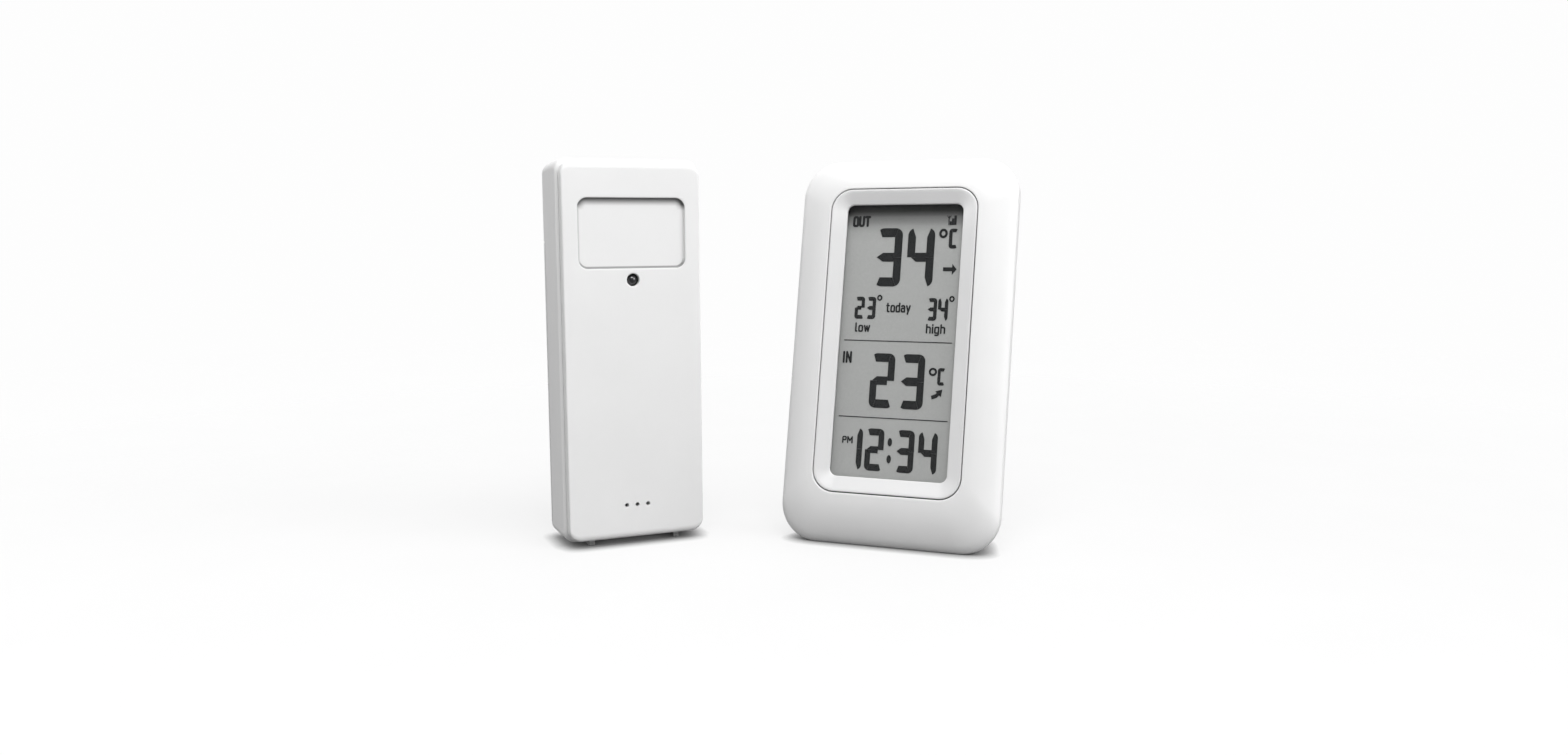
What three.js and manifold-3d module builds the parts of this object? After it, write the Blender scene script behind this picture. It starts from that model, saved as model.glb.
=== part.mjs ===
// Wireless maximum-minimum thermometer set: an indoor display station that leans
// back on its foot and a hinged rear leg, and an outdoor sensor on two ribs.
// Millimetres, +Z up. The origin is the centre of the display's foot on the table;
// the display faces -Y. Each unit is built upright in its own frame, with x across,
// y from its front into the case and z up, and is placed on the table at the end.
import * as THREE from "three";
import { mergeVertices } from "three/addons/utils/BufferGeometryUtils.js";
import Module from "manifold-3d";

const wasm = await Module();
wasm.setup();

const DEG = Math.PI / 180;
const GAP = 0.3; // clearance between neighbouring pieces
const HALF_GAP = GAP / 2;
const OUTSIDE = 30; // a depth behind both units, where cuts from the rear end

const LOOKS = {
  shell: { color: 0xe9e9e9, roughness: 0.45, metalness: 0 },
  grey: { color: 0xc4c4c4, roughness: 0.5, metalness: 0 },
  dark: { color: 0x2c2c2e, roughness: 0.5, metalness: 0 },
  glass: { color: 0xdfe3e2, roughness: 0.1, metalness: 0 },
  lcd: { color: 0xa4a6a4, roughness: 0.25, metalness: 0 },
  board: { color: 0x1f6b3c, roughness: 0.55, metalness: 0 },
  steel: { color: 0xc8c8ca, roughness: 0.3, metalness: 1 },
  cell: { color: 0x7d858c, roughness: 0.35, metalness: 0.4 },
  copper: { color: 0xb87345, roughness: 0.35, metalness: 1 },
  rubber: { color: 0x8f8f8f, roughness: 0.8, metalness: 0 },
};

// ---- solids ----
// Solid from a geometry: only positions kept, shared vertices merged.
function asSolid(shape) {
  if (!shape.isBufferGeometry) return shape;
  let geometry = shape.index ? shape.toNonIndexed() : shape.clone();
  for (const name of Object.keys(geometry.attributes))
    if (name !== "position") geometry.deleteAttribute(name);
  geometry = mergeVertices(geometry, 1e-4);
  return new wasm.Manifold(new wasm.Mesh({
    numProp: 3,
    vertProperties: new Float32Array(geometry.attributes.position.array),
    triVerts: new Uint32Array(geometry.index.array),
  }));
}
function asGeometry(manifold) {
  const mesh = manifold.getMesh();
  return indexed(new Float32Array(mesh.vertProperties), new Uint32Array(mesh.triVerts));
}
function indexed(positions, indices) {
  const geometry = new THREE.BufferGeometry();
  geometry.setAttribute("position", new THREE.BufferAttribute(positions, 3));
  geometry.setIndex(new THREE.BufferAttribute(indices, 1));
  return geometry;
}
const cut = (body, ...tools) => tools.reduce((rest, t) => rest.subtract(asSolid(t)), asSolid(body));
const join = (body, ...parts) => parts.reduce((sum, p) => sum.add(asSolid(p)), asSolid(body));

function add(parent, name, shape, look) {
  const material = new THREE.MeshStandardMaterial(LOOKS[look]);
  const mesh = new THREE.Mesh(asGeometry(asSolid(shape)), material);
  mesh.name = name;
  parent.add(mesh);
}

// ---- shapes ----
// Ranges: symmetric about zero, or about a centre.
const both = (half) => [-half, half];
const around = (centre, half) => [centre - half, centre + half];

// Box from its three ranges.
function box([x0, x1], [y0, y1], [z0, z1]) {
  const geometry = new THREE.BoxGeometry(x1 - x0, y1 - y0, z1 - z0);
  return geometry.translate((x0 + x1) / 2, (y0 + y1) / 2, (z0 + z1) / 2);
}
// Cylinder or cone along an axis. `place` holds its other two coordinates in x, y, z order.
function rod(axis, radius, [from, to], place, segments, endRadius = radius) {
  const geometry = new THREE.CylinderGeometry(endRadius, radius, to - from, segments);
  const middle = (from + to) / 2;
  const [p, q] = place;
  if (axis === "x") return geometry.rotateZ(-Math.PI / 2).translate(middle, p, q);
  if (axis === "y") return geometry.translate(p, middle, q);
  return geometry.rotateX(Math.PI / 2).translate(p, q, middle);
}
// Equal rods along Y at several [x, z] places.
const rodsAt = (places, radius, range, segments) =>
  places.map((place) => rod("y", radius, range, place, segments));

// Rounded rectangle in the XZ plane.
const outline = (halfWidth, bottom, top, corner) => ({ halfWidth, bottom, top, corner });
const grow = (o, by) => outline(o.halfWidth + by, o.bottom - by, o.top + by, o.corner + by);
function outlinePoints({ halfWidth, bottom, top, corner }, steps) {
  const x = halfWidth - corner;
  const low = bottom + corner;
  const high = top - corner;
  const points = [];
  // corner centre x, z and starting angle
  for (const [cx, cz, start] of [[x, low, -90], [x, high, 0], [-x, high, 90], [-x, low, 180]])
    for (let i = 0; i <= steps; i++) {
      const angle = (start + (90 * i) / steps) * DEG;
      points.push([cx + corner * Math.cos(angle), cz + corner * Math.sin(angle)]);
    }
  return points;
}
const ring = (y, shape, steps = 6) => ({ y, points: outlinePoints(shape, steps) });

// Loft through rings of equal point counts. A closed loft joins its last ring to its
// first and makes a frame; an open one gets flat ends.
function loft(rings, closed = false) {
  const count = rings[0].points.length;
  const vertices = rings.flatMap(({ y, points }) =>
    points.map(([x, z]) => new THREE.Vector3(x, y, z)));
  const triangles = [];
  for (let k = 0; k < (closed ? rings.length : rings.length - 1); k++) {
    const here = k * count;
    const there = ((k + 1) % rings.length) * count;
    for (let i = 0; i < count; i++) {
      const next = (i + 1) % count;
      triangles.push([here + i, here + next, there + next], [here + i, there + next, there + i]);
    }
  }
  if (!closed) {
    const last = (rings.length - 1) * count;
    for (let i = 1; i < count - 1; i++)
      triangles.push([0, i + 1, i], [last, last + i, last + i + 1]);
  }
  // turn the triangles outward
  let volume = 0;
  for (const [a, b, c] of triangles)
    volume += vertices[a].dot(vertices[b].clone().cross(vertices[c]));
  const outward = volume < 0 ? triangles.map(([a, b, c]) => [a, c, b]) : triangles;
  const positions = vertices.flatMap((v) => v.toArray());
  return indexed(new Float32Array(positions), new Uint32Array(outward.flat()));
}
// Plate of constant outline between two depths.
const plate = (shape, [y0, y1], steps) => loft([ring(y0, shape, steps), ring(y1, shape, steps)]);

// Turned piece along Y from [radius, height] pairs that start and end on the axis.
const lathe = (profile, segments) =>
  new THREE.LatheGeometry(profile.map(([r, h]) => new THREE.Vector2(r, h)), segments);
// The same along Z.
const turned = (profile, segments) => lathe(profile, segments).rotateX(Math.PI / 2);

// Wire of pentagonal section wound along Z; `radii` and `z` run from start to end.
function coil({ radii: [r0, r1], z: [z0, z1], turns, wire, stepsPerTurn, x, y }) {
  class Winding extends THREE.Curve {
    getPoint(t, target = new THREE.Vector3()) {
      const angle = 2 * Math.PI * turns * t;
      const radius = r0 + (r1 - r0) * t;
      return target.set(radius * Math.cos(angle), radius * Math.sin(angle), z0 + (z1 - z0) * t);
    }
  }
  const section = [0, 1, 2, 3, 4].map((i) => {
    const angle = (2 * Math.PI * i) / 5;
    return new THREE.Vector2(wire * Math.cos(angle), wire * Math.sin(angle));
  });
  return new THREE.ExtrudeGeometry(new THREE.Shape(section), {
    steps: Math.round(turns * stepsPerTurn),
    extrudePath: new Winding(),
    bevelEnabled: false,
  }).translate(x, y, 0);
}

// ---- parts both units use ----
// Screw along Y with a cross slot in its rear-facing head.
function screw({ shankRadius, headRadius, tipY, headY, slotHalf }, [x, z]) {
  const slotDepth = [headY + 0.8, headY + 2.7];
  return cut(
    join(
      rod("y", shankRadius, [tipY, headY + 0.3], [x, z], 10),
      rod("y", headRadius, [headY, headY + 1.4], [x, z], 14, 1.5),
    ),
    box(around(x, slotHalf), slotDepth, around(z, 0.2)),
    box(around(x, 0.2), slotDepth, around(z, slotHalf)),
  );
}
function thermistor(x, y, z) {
  const bead = [[0, -1.4], [0.7, -1.1], [1.1, -0.4], [1.1, 0.4], [0.7, 1.1], [0, 1.4]];
  return turned(bead, 12).translate(x, y, z);
}
const antenna = (radius, z, x, y) =>
  coil({ radii: [radius, radius], z, turns: 7, wire: 0.35, stepsPerTurn: 9, x, y });

// Two cells side by side with springs and contact plates. The cell at -x has its
// tip up, the one at +x has its tip down. `cellX` is half the cell spacing, `cellZ`
// the lower end of the cells and `z` the height range of the bay.
function addCells(parent, prefix, { radius, length, tipLength, tipRadius, cellX, y, cellZ, z }) {
  const [floor, ceiling] = z;
  const top = cellZ + length + tipLength;
  const profile = [
    [0, 0], [radius * 0.72, 0], [radius * 0.76, 0.3], [radius - 0.25, 0.3],
    [radius, 0.6], [radius, length - 0.4], [radius - 0.4, length], [tipRadius, length],
    [tipRadius, length + tipLength - 0.15], [tipRadius - 0.2, length + tipLength],
    [0, length + tipLength],
  ];
  // springs are wide at the contact plate and narrow at the cell
  const wide = radius * 0.62;
  const narrow = radius * 0.36;
  const wound = { turns: 3, wire: 0.3, stepsPerTurn: 10, y };
  const units = [
    {
      cell: turned(profile, 24).translate(-cellX, y, cellZ),
      spring: { radii: [wide, narrow], z: [floor + 0.95, cellZ - 0.45], x: -cellX },
    },
    {
      cell: turned(profile, 24).rotateX(Math.PI).translate(cellX, y, top),
      spring: { radii: [narrow, wide], z: [top + 0.45, ceiling - 0.95], x: cellX },
    },
  ];
  units.forEach(({ cell, spring }, i) => {
    add(parent, `${prefix}cell_${i + 1}`, cell, "cell");
    add(parent, `${prefix}spring_${i + 1}`, coil({ ...wound, ...spring }), "steel");
  });

  // separate plates at the lower end, a bridge across both cells at the upper end
  const plateHalf = radius * 0.7;
  const plateY = around(y, plateHalf);
  const lowerZ = [floor + 0.3, floor + 0.6];
  const upperZ = [ceiling - 0.6, ceiling - 0.3];
  const studBase = tipRadius + 0.4;
  add(parent, prefix + "contact_minus", box(around(-cellX, plateHalf), plateY, lowerZ), "steel");
  add(parent, prefix + "contact_plus", join(
    box(around(cellX, plateHalf), plateY, lowerZ),
    rod("z", studBase, [floor + 0.5, cellZ - 0.3], [cellX, y], 12, tipRadius),
  ), "steel");
  add(parent, prefix + "contact_bridge", join(
    box(both(cellX + plateHalf), plateY, upperZ),
    rod("z", tipRadius, [top + 0.3, ceiling - 0.5], [-cellX, y], 12, studBase),
  ), "steel");
}

const group = new THREE.Group();
const display = new THREE.Group();
const sensor = new THREE.Group();
group.add(display, sensor);

// ---- display station; y = 0 is the ring plane ----
const LEAN = 12.459 * DEG; // backward lean
const CASE = outline(30.69, 0, 106.93, 10.5); // case at its widest
const RING = outline(20.69, 13.95, 97.96, 6); // groove between frame and bezel
const WINDOW = outline(16.44, 18.38, 93.42, 2);
const WINDOW_Y = 1.65; // depth of the window edge
const EDGE_Y = 4.743; // depth where the foot plane crosses z = 0
const FOOT_Y = 5.6; // depth of the origin
const FOOT_RISE = Math.tan(LEAN) * (FOOT_Y - EDGE_Y); // height of the foot plane there
const FRAME_BACK = 7.2; // rear edge of the front frame
const BACK_Y = 22; // flat back
const SCREWS = [[-23.5, 15], [23.5, 15], [-23.5, 92], [23.5, 92]]; // x, z
const SCREW_SIZE = { shankRadius: 1.0, headRadius: 1.9, tipY: 4, headY: 12.3, slotHalf: 1.1 };

// leg: hinge axis, slope from the vertical when open, half width, half thickness
const AXIS_Y = 20.6;
const AXIS_Z = 71.5;
const LEG_SLOPE = 10 * DEG;
const LEG_HALF_WIDTH = 19.9;
const LEG_HALF_THICK = 1.2;

// battery bay, the island around it, and its door
const BAY_HALF_WIDTH = 11.6;
const BAY_Z = [14.2, 65.8];
const BAY_Y = 9.6; // bay floor
const TRAY_WALL = 1.2;
const ISLAND_HALF_WIDTH = 14.4;
const ISLAND_Z = [12.3, 68];
const DOOR_HALF_WIDTH = 12.6;
const DOOR_Z = [12.6, 66.6];
const DOOR_Y = 20.8; // inner face

// rear buttons and air slots
const BUTTON_NAMES = ["button_set", "button_recall", "button_reset"];
const BUTTON_PITCH = 12;
const BUTTON_PLACES = [-1, 0, 1].map((i) => [i * BUTTON_PITCH, 85]); // x, z
const BUTTON_RADIUS = 3.2;
const SLOT_PITCH = 4;
const SLOT_HALF_WIDTH = 0.7;
const SLOT_Z = [90.6, 95.4];

// Everything below the table plane, in the display's frame.
const belowTable = () =>
  box(both(60), both(60), [-60, 0]).rotateX(LEAN).translate(0, EDGE_Y, 0);

// Domed border around the ring with four hollow screw posts.
function frontFrame() {
  // share of the way from the ring to the case outline, depth
  const stations = [
    [0, 0.25], [0.03, 0.02], [0.2, 0.2], [0.4, 0.66], [0.6, 1.4], [0.76, 2.2],
    [0.88, 3.0], [0.955, 3.8], [0.99, 4.4], [1, 5.0], [1, 6.3], [0.985, FRAME_BACK],
    [0.82, FRAME_BACK], [0.82, 5.3], [0.6, 3.4], [0.3, 2.3], [0, 2.0],
  ];
  const inner = grow(RING, HALF_GAP);
  const rings = stations.map(([share, y]) => {
    const mix = (key) => inner[key] + (CASE[key] - inner[key]) * share;
    return ring(y, outline(mix("halfWidth"), mix("bottom"), mix("top"), mix("corner")));
  });
  const frame = join(loft(rings, true), ...rodsAt(SCREWS, 2.6, [1.4, 10], 16));
  return cut(frame, ...rodsAt(SCREWS, 1.3, [3.2, 11], 12), belowTable());
}

// Slopes from the groove down to the window, with a seat for the lens behind it.
function bezelRing() {
  const outer = grow(RING, -HALF_GAP);
  const seat = outline(18.9, WINDOW.bottom - 2.5, WINDOW.top + 2.5, WINDOW.corner + 1.5);
  const seatY = WINDOW_Y + 0.5;
  const backY = 3.5;
  return loft([
    ring(0.35, outer),
    ring(0.03, grow(outer, -0.3)),
    ring(WINDOW_Y - 0.08, grow(WINDOW, 0.25)),
    ring(WINDOW_Y + 0.12, WINDOW),
    ring(seatY, WINDOW),
    ring(seatY, seat),
    ring(backY, seat),
    ring(backY, outer),
  ], true);
}

// Loft through [depth, inset of sides and top, bottom, corner radius] stations.
const caseLoft = (stations) => loft(stations.map(([y, inset, bottom, corner]) =>
  ring(y, outline(CASE.halfWidth - inset, bottom, CASE.top - inset, corner))));

// Tapered shell with battery bay, leg recess, screw wells, button holes and air slots.
function rearCover() {
  const shell = caseLoft([
    [7.5, 0.9, 0.2, 10.2], [10, 1.7, 0.5, 10], [13, 2.8, 1, 9.6], [16, 4.1, 1.6, 9],
    [19, 5.8, 2.4, 8.4], [20.8, 7.4, 3.2, 8], [21.7, 8.8, 4.2, 7.4], [BACK_Y, 9.9, 5.4, 7],
  ]);
  const hollow = caseLoft([
    [6.5, 2.4, 3.4, 9], [10, 3.4, 3.6, 8.6], [14, 4.9, 4.4, 8], [17.2, 6.4, 5.6, 7.4],
  ]);
  const hollowTop = caseLoft([[16, 6.4, 76.8, 6], [20.4, 9.2, 76.8, 5]]);
  const tray = box(
    both(BAY_HALF_WIDTH + TRAY_WALL),
    [BAY_Y - 1.1, 18],
    [BAY_Z[0] - TRAY_WALL, BAY_Z[1] + TRAY_WALL],
  );
  const legRecess = box(
    both(LEG_HALF_WIDTH + 0.4), [19.0, OUTSIDE], [-5, AXIS_Z + LEG_HALF_THICK + 0.5],
  );
  const island = box(both(ISLAND_HALF_WIDTH), [17, BACK_Y], ISLAND_Z);
  const wells = rodsAt(SCREWS, 3.4, [10.4, 17.6], 16);
  let cover = join(cut(shell, hollow, hollowTop), ...wells, tray);
  cover = join(cut(cover, legRecess), island);
  cover = cut(
    cover,
    box(both(BAY_HALF_WIDTH), [BAY_Y, OUTSIDE], BAY_Z),
    // door seat, open at the bottom
    box(both(DOOR_HALF_WIDTH + GAP), [DOOR_Y - GAP, OUTSIDE], [0, DOOR_Z[1] + GAP]),
    // hinge bore
    rod("x", 1.35, both(21.6), [AXIS_Y, AXIS_Z], 16),
  );
  for (const place of SCREWS)
    cover = cut(
      cover,
      rod("y", 1.3, [9, OUTSIDE], place, 12),
      rod("y", 2.3, [12, OUTSIDE], place, 16),
    );
  cover = cut(cover, ...rodsAt(BUTTON_PLACES, BUTTON_RADIUS + GAP, [17, OUTSIDE], 20));
  for (let i = -2; i <= 2; i++)
    cover = cut(cover, box(around(i * SLOT_PITCH, SLOT_HALF_WIDTH), [18, OUTSIDE], SLOT_Z));
  return cut(cover, belowTable());
}

// Flat door over the bay, with a finger dip near its top edge.
const batteryDoor = () => cut(
  box(both(DOOR_HALF_WIDTH), [DOOR_Y, BACK_Y], DOOR_Z),
  rod("x", 3.2, both(5), [BACK_Y + 2.5, 61.5], 20),
);

// Open frame with two stub pins, hanging from the hinge axis at its own origin and
// cut level where it meets the table.
function standLeg() {
  const axisHeight = (AXIS_Z - FOOT_RISE) * Math.cos(LEAN) - (AXIS_Y - FOOT_Y) * Math.sin(LEAN);
  const frame = join(
    box(both(LEG_HALF_WIDTH), both(LEG_HALF_THICK), [-70, 0]),
    rod("x", LEG_HALF_THICK, both(LEG_HALF_WIDTH), [0, 0], 16),
    rod("x", 1.0, both(LEG_HALF_WIDTH + 1.3), [0, 0], 16),
  );
  const opening = outline(
    ISLAND_HALF_WIDTH + 0.5, ISLAND_Z[0] - 1.3 - AXIS_Z, ISLAND_Z[1] + 0.4 - AXIS_Z, 1.2,
  );
  const table = box(both(30), both(30), [-20, 0])
    .rotateX(-LEG_SLOPE)
    .translate(0, 0, -axisHeight / Math.cos(LEG_SLOPE));
  return cut(frame, plate(opening, both(5), 3), table);
}

// Button cap with a stem reaching forward towards its switch.
const button = (place) => join(
  rod("y", BUTTON_RADIUS, [18.2, BACK_Y + 0.6], place, 20, BUTTON_RADIUS - 0.15),
  rod("y", 1.4, [12.2, 18.6], place, 12),
);
const tactSwitch = ([x, z]) => join(
  box(around(x, 2.6), [8.3, 10.2], around(z, 2.6)),
  rod("y", 1.0, [10, 10.9], [x, z], 12),
);

add(display, "front_frame", frontFrame(), "shell");
add(display, "bezel_ring", bezelRing(), "grey");

// window, liquid-crystal stack and board, front to back
const LENS = outline(18.5, 16.3, 95.5, 2.2);
add(display, "window_lens", plate(LENS, [2.45, 3.35], 4), "glass");
add(display, "lcd_glass", box(both(18.2), [3.8, 5.3], [16.6, 95.2]), "lcd");
add(display, "lcd_backplate", box(both(19), [5.6, 6.4], [20.6, 96.4]), "shell");
add(display, "lcd_connector_strip", box(both(15), [5.6, 6.5], [16.8, 19.6]), "rubber");
add(display, "display_board", box(both(20), [6.8, 8.0], [9.5, 99.5]), "board");

add(display, "rear_cover", rearCover(), "shell");
add(display, "battery_door", batteryDoor(), "shell");

const leg = new THREE.Group();
leg.position.set(0, AXIS_Y, AXIS_Z);
leg.rotation.x = LEG_SLOPE + LEAN;
display.add(leg);
add(leg, "stand_leg", standLeg(), "shell");

BUTTON_PLACES.forEach((place, i) => {
  add(display, BUTTON_NAMES[i], button(place), "grey");
  add(display, `tact_switch_${i + 1}`, tactSwitch(place), "dark");
});
SCREWS.forEach((place, i) => {
  add(display, `case_screw_${i + 1}`, screw(SCREW_SIZE, place), "steel");
});
// two AAA cells
addCells(display, "display_", {
  radius: 5.2, length: 43.3, tipLength: 1.0, tipRadius: 1.9,
  cellX: 5.6, y: 15.1, cellZ: 17.85, z: BAY_Z,
});
add(display, "indoor_thermistor", thermistor(6, 12.5, 94.8), "dark");
add(display, "receiver_antenna", antenna(2.0, [80, 96], -16.5, 11.2), "copper");

// ---- outdoor sensor; y = 0 is its front face ----
const SENSOR_PLACE = [-64.48, -21.0]; // x, y on the table
const SENSOR_YAW = 45.209 * DEG;
const SENSOR = outline(19.03, 2, 103.6, 3.4); // front cover at its widest
const SENSOR_BACK = 20.33;
const WALL = 1.6;
const SENSOR_DOOR_Y = 17.6; // inner plane of the battery door
const SENSOR_DOOR_Z = [3.85, 82.5];
const SENSOR_BAY_Z = [12.6, 68.0];
const PANEL = outline(14.75, 75.5, 94.1, 2.6); // shallow label panel
const PANEL_DEPTH = 0.9;
const LED_Z = 72.35;
const LED_RADIUS = 1.5;
const VENT_Z = 11.1;
const VENT_PITCH = 3.0;
const VENT_RADIUS = 0.5;
const RIB_X = [-12, 12];
const SENSOR_SCREWS = [[0, 97.9], [10, 7.6]]; // x, z
const SENSOR_SCREW_SIZE = {
  shankRadius: 0.95, headRadius: 1.85, tipY: 3.4, headY: 11.3, slotHalf: 1,
};

// Loft through [depth, growth of sides, of top, of bottom, corner radius] stations.
const sensorLoft = (stations) => loft(stations.map(([y, side, top, bottom, corner]) =>
  ring(y, outline(SENSOR.halfWidth + side, SENSOR.bottom - bottom, SENSOR.top + top, corner))));

// Thin lid with the label panel, an indicator hole and three air holes.
function sensorFrontCover() {
  const lid = sensorLoft([
    [0, -0.95, -1.8, -1.8, 2.4], [0.12, -0.5, -1.05, -1.05, 2.8],
    [0.42, -0.18, -0.42, -0.42, 3.2], [0.9, 0, -0.06, -0.06, SENSOR.corner],
    [2.6, 0, 0, 0, SENSOR.corner],
  ]);
  const inside = { ...grow(SENSOR, -WALL), corner: 2 };
  const posts = rodsAt(SENSOR_SCREWS, 2.3, [1.2, 9], 16);
  const vents = [-1, 0, 1].map((i) => [i * VENT_PITCH, VENT_Z]);
  return cut(
    join(cut(lid, plate(inside, [1.5, 4])), ...posts),
    ...rodsAt(SENSOR_SCREWS, 1.25, [2.6, 10], 12),
    plate(PANEL, [-1, PANEL_DEPTH]),
    rod("y", LED_RADIUS + 0.2, [-1, 3], [0, LED_Z], 24),
    ...rodsAt(vents, VENT_RADIUS, [-1, 3], 12),
  );
}

// Rear body: a locating lip inside the cover, then a shell that stands proud of it
// behind a chamfer.
const sensorBody = () => sensorLoft([
  [2.2, -1.9, -1.9, -1.9, 1.8], [2.95, -1.9, -1.9, -1.9, 1.8],
  [2.95, 0.05, 0.05, 0.05, 3.4], [4.15, 0.65, 0.85, 0.6, 3.1],
  [7.5, 0.65, 0.8, 0.6, 2.9], [12, 0.65, 0.55, 0.55, 2.7],
  [16, 0.65, 0.3, 0.5, 2.6], [18.7, 0.65, 0.05, 0.45, 2.6],
  [19.6, 0.4, -0.3, 0.15, 2.5], [20.1, -0.1, -0.85, -0.4, 2.3],
  [SENSOR_BACK, -0.85, -1.6, -1.15, 2.1],
]);
// The part of the body that belongs to the door, grown on its inner, lower and upper sides.
const doorRegion = (growth) => box(
  both(30),
  [SENSOR_DOOR_Y - growth, 40],
  [SENSOR_DOOR_Z[0] - growth, SENSOR_DOOR_Z[1] + growth],
);

// Board chamber above, battery chamber open to the rear, probe chamber below, two ribs.
function sensorRearShell() {
  const ribs = RIB_X.map((x) => box(around(x, 0.8), [3.6, 15.5], [0, 3.4]));
  let shell = cut(
    join(cut(sensorBody(), doorRegion(HALF_GAP)), ...ribs),
    plate(outline(16.2, 69.2, 101.0, 2), [1, 15.8], 4),
    plate(outline(16.2, 4.4, 11.4, 1.5), [1, 15.2], 4),
    box(both(17.0), [3.0, OUTSIDE], SENSOR_BAY_Z),
    box(both(17.4), [1, 2.6], [11, 70]),
  );
  shell = join(shell, ...rodsAt(SENSOR_SCREWS, 2.95, [9.4, 16.5], 16));
  for (const place of SENSOR_SCREWS)
    shell = cut(
      shell,
      rod("y", 1.3, [8, OUTSIDE], place, 12),
      rod("y", 2.2, [11, OUTSIDE], place, 16),
    );
  return shell;
}

// Lower part of the back, hollowed inside.
function sensorBatteryDoor() {
  const door = asSolid(sensorBody()).intersect(asSolid(doorRegion(-HALF_GAP)));
  return cut(door, plate(outline(16.6, 8, 77.5, 2), [10, 18.8], 4));
}

// Domed body pointing forward, with a rear flange.
function indicator() {
  const profile = [
    [0, 0], [1.9, 0], [1.9, 0.8], [LED_RADIUS, 0.8],
    [LED_RADIUS, 3.2], [1.3, 3.95], [0.75, 4.5], [0, 4.7],
  ];
  return lathe(profile, 20).rotateX(Math.PI).translate(0, 4.9, LED_Z);
}

add(sensor, "sensor_front_cover", sensorFrontCover(), "shell");
add(sensor, "sensor_rear_shell", sensorRearShell(), "shell");
add(sensor, "sensor_battery_door", sensorBatteryDoor(), "shell");
SENSOR_SCREWS.forEach((place, i) => {
  add(sensor, `sensor_screw_${i + 1}`, screw(SENSOR_SCREW_SIZE, place), "steel");
});
add(sensor, "sensor_indicator", indicator(), "dark");
add(sensor, "sensor_board", box(both(15.5), [5.3, 6.5], [69.8, 94.2]), "board");
add(sensor, "sensor_transmitter", box(both(6), [6.8, 8.6], [76, 88]), "dark");
add(sensor, "sensor_antenna", antenna(2.1, [73, 92], 12, 10), "copper");
add(sensor, "sensor_thermistor", thermistor(0, 4.4, 8.8), "dark");
// two AA cells
addCells(sensor, "sensor_", {
  radius: 7.1, length: 49.2, tipLength: 1.3, tipRadius: 2.7,
  cellX: 7.8, y: 10.3, cellZ: 15.6, z: SENSOR_BAY_Z,
});

// ---- placing the two units on the table ----
display.rotation.x = -LEAN;
const footCentre = new THREE.Vector3(0, FOOT_Y, FOOT_RISE).applyEuler(display.rotation);
display.position.copy(footCentre.negate());
sensor.position.set(...SENSOR_PLACE, 0);
sensor.rotation.z = SENSOR_YAW;

export default group;
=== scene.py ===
"""Wireless maximum-minimum thermometer set: a display station and an outdoor sensor.

Each unit is modelled in millimetres in its own frame: x across (to the right as seen from
the front), y from the face back into the case, z up. The display leans back on a rear leg.
The sensor stands upright to its left, turned about z. Outlines are lists of (x, z) points.
"""

import math

import bmesh
import bpy
import numpy as np
from mathutils import Matrix, Vector

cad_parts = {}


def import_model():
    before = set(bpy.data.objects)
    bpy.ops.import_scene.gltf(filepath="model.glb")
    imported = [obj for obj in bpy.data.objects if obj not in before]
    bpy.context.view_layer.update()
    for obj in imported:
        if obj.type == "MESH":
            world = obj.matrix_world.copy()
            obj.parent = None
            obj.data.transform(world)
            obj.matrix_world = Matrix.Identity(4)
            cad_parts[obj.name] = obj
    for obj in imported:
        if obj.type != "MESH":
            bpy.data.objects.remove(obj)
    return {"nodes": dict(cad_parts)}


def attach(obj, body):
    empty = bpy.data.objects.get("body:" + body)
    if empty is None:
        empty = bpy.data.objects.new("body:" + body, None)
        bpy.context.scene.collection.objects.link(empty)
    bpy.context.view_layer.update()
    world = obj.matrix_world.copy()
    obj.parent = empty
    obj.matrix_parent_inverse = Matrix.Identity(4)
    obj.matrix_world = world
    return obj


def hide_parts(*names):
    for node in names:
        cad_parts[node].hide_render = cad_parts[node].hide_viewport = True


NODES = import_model()["nodes"]
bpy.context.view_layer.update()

# ---------------------------------------------------------------- dimensions (mm)
# HALF is half a width, Z0 and Z1 are bottom and top, R is a corner radius
LEAN = math.radians(12.459)
CASE_HALF, CASE_H, CASE_R = 30.69, 106.93, 10.5
EDGE_Y = 4.743  # where the table plane meets z = 0
FOOT_Y, BACK_Y = 5.6, 22.0
RING_HALF, RING_Z0, RING_Z1, RING_R = 20.69, 13.95, 97.96, 6.0
GROOVE = 0.11  # half the gap between front frame and bezel ring
WINDOW_HALF, WINDOW_Z0, WINDOW_Z1, WINDOW_R, WINDOW_Y = 16.44, 18.38, 93.8, 2.0, 1.65
LCD_FRONT = 3.8
AXIS_Y, AXIS_Z = 20.6, 71.5  # hinge of the leg
LEG_ANGLE = math.radians(10.0)  # from the vertical
LEG_HALF, LEG_T = 19.9, 1.2  # LEG_T is half the thickness
ISLAND_HALF, ISLAND_Z0, ISLAND_Z1 = 14.4, 12.3, 68.0  # raised back inside the open leg
BAY_HALF, BAY_Z0, BAY_Z1, BAY_Y = 11.6, 14.2, 65.8, 9.6
DOOR_HALF, DOOR_Z1, DOOR_GAP = 12.6, 66.6, 0.3
SCREWS = [(-23.5, 15), (23.5, 15), (-23.5, 92), (23.5, 92)]
BUTTONS = {"set": -12, "recall": 0, "reset": 12}  # x of each
BUTTON_Z, BUTTON_R = 85, 3.2

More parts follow.
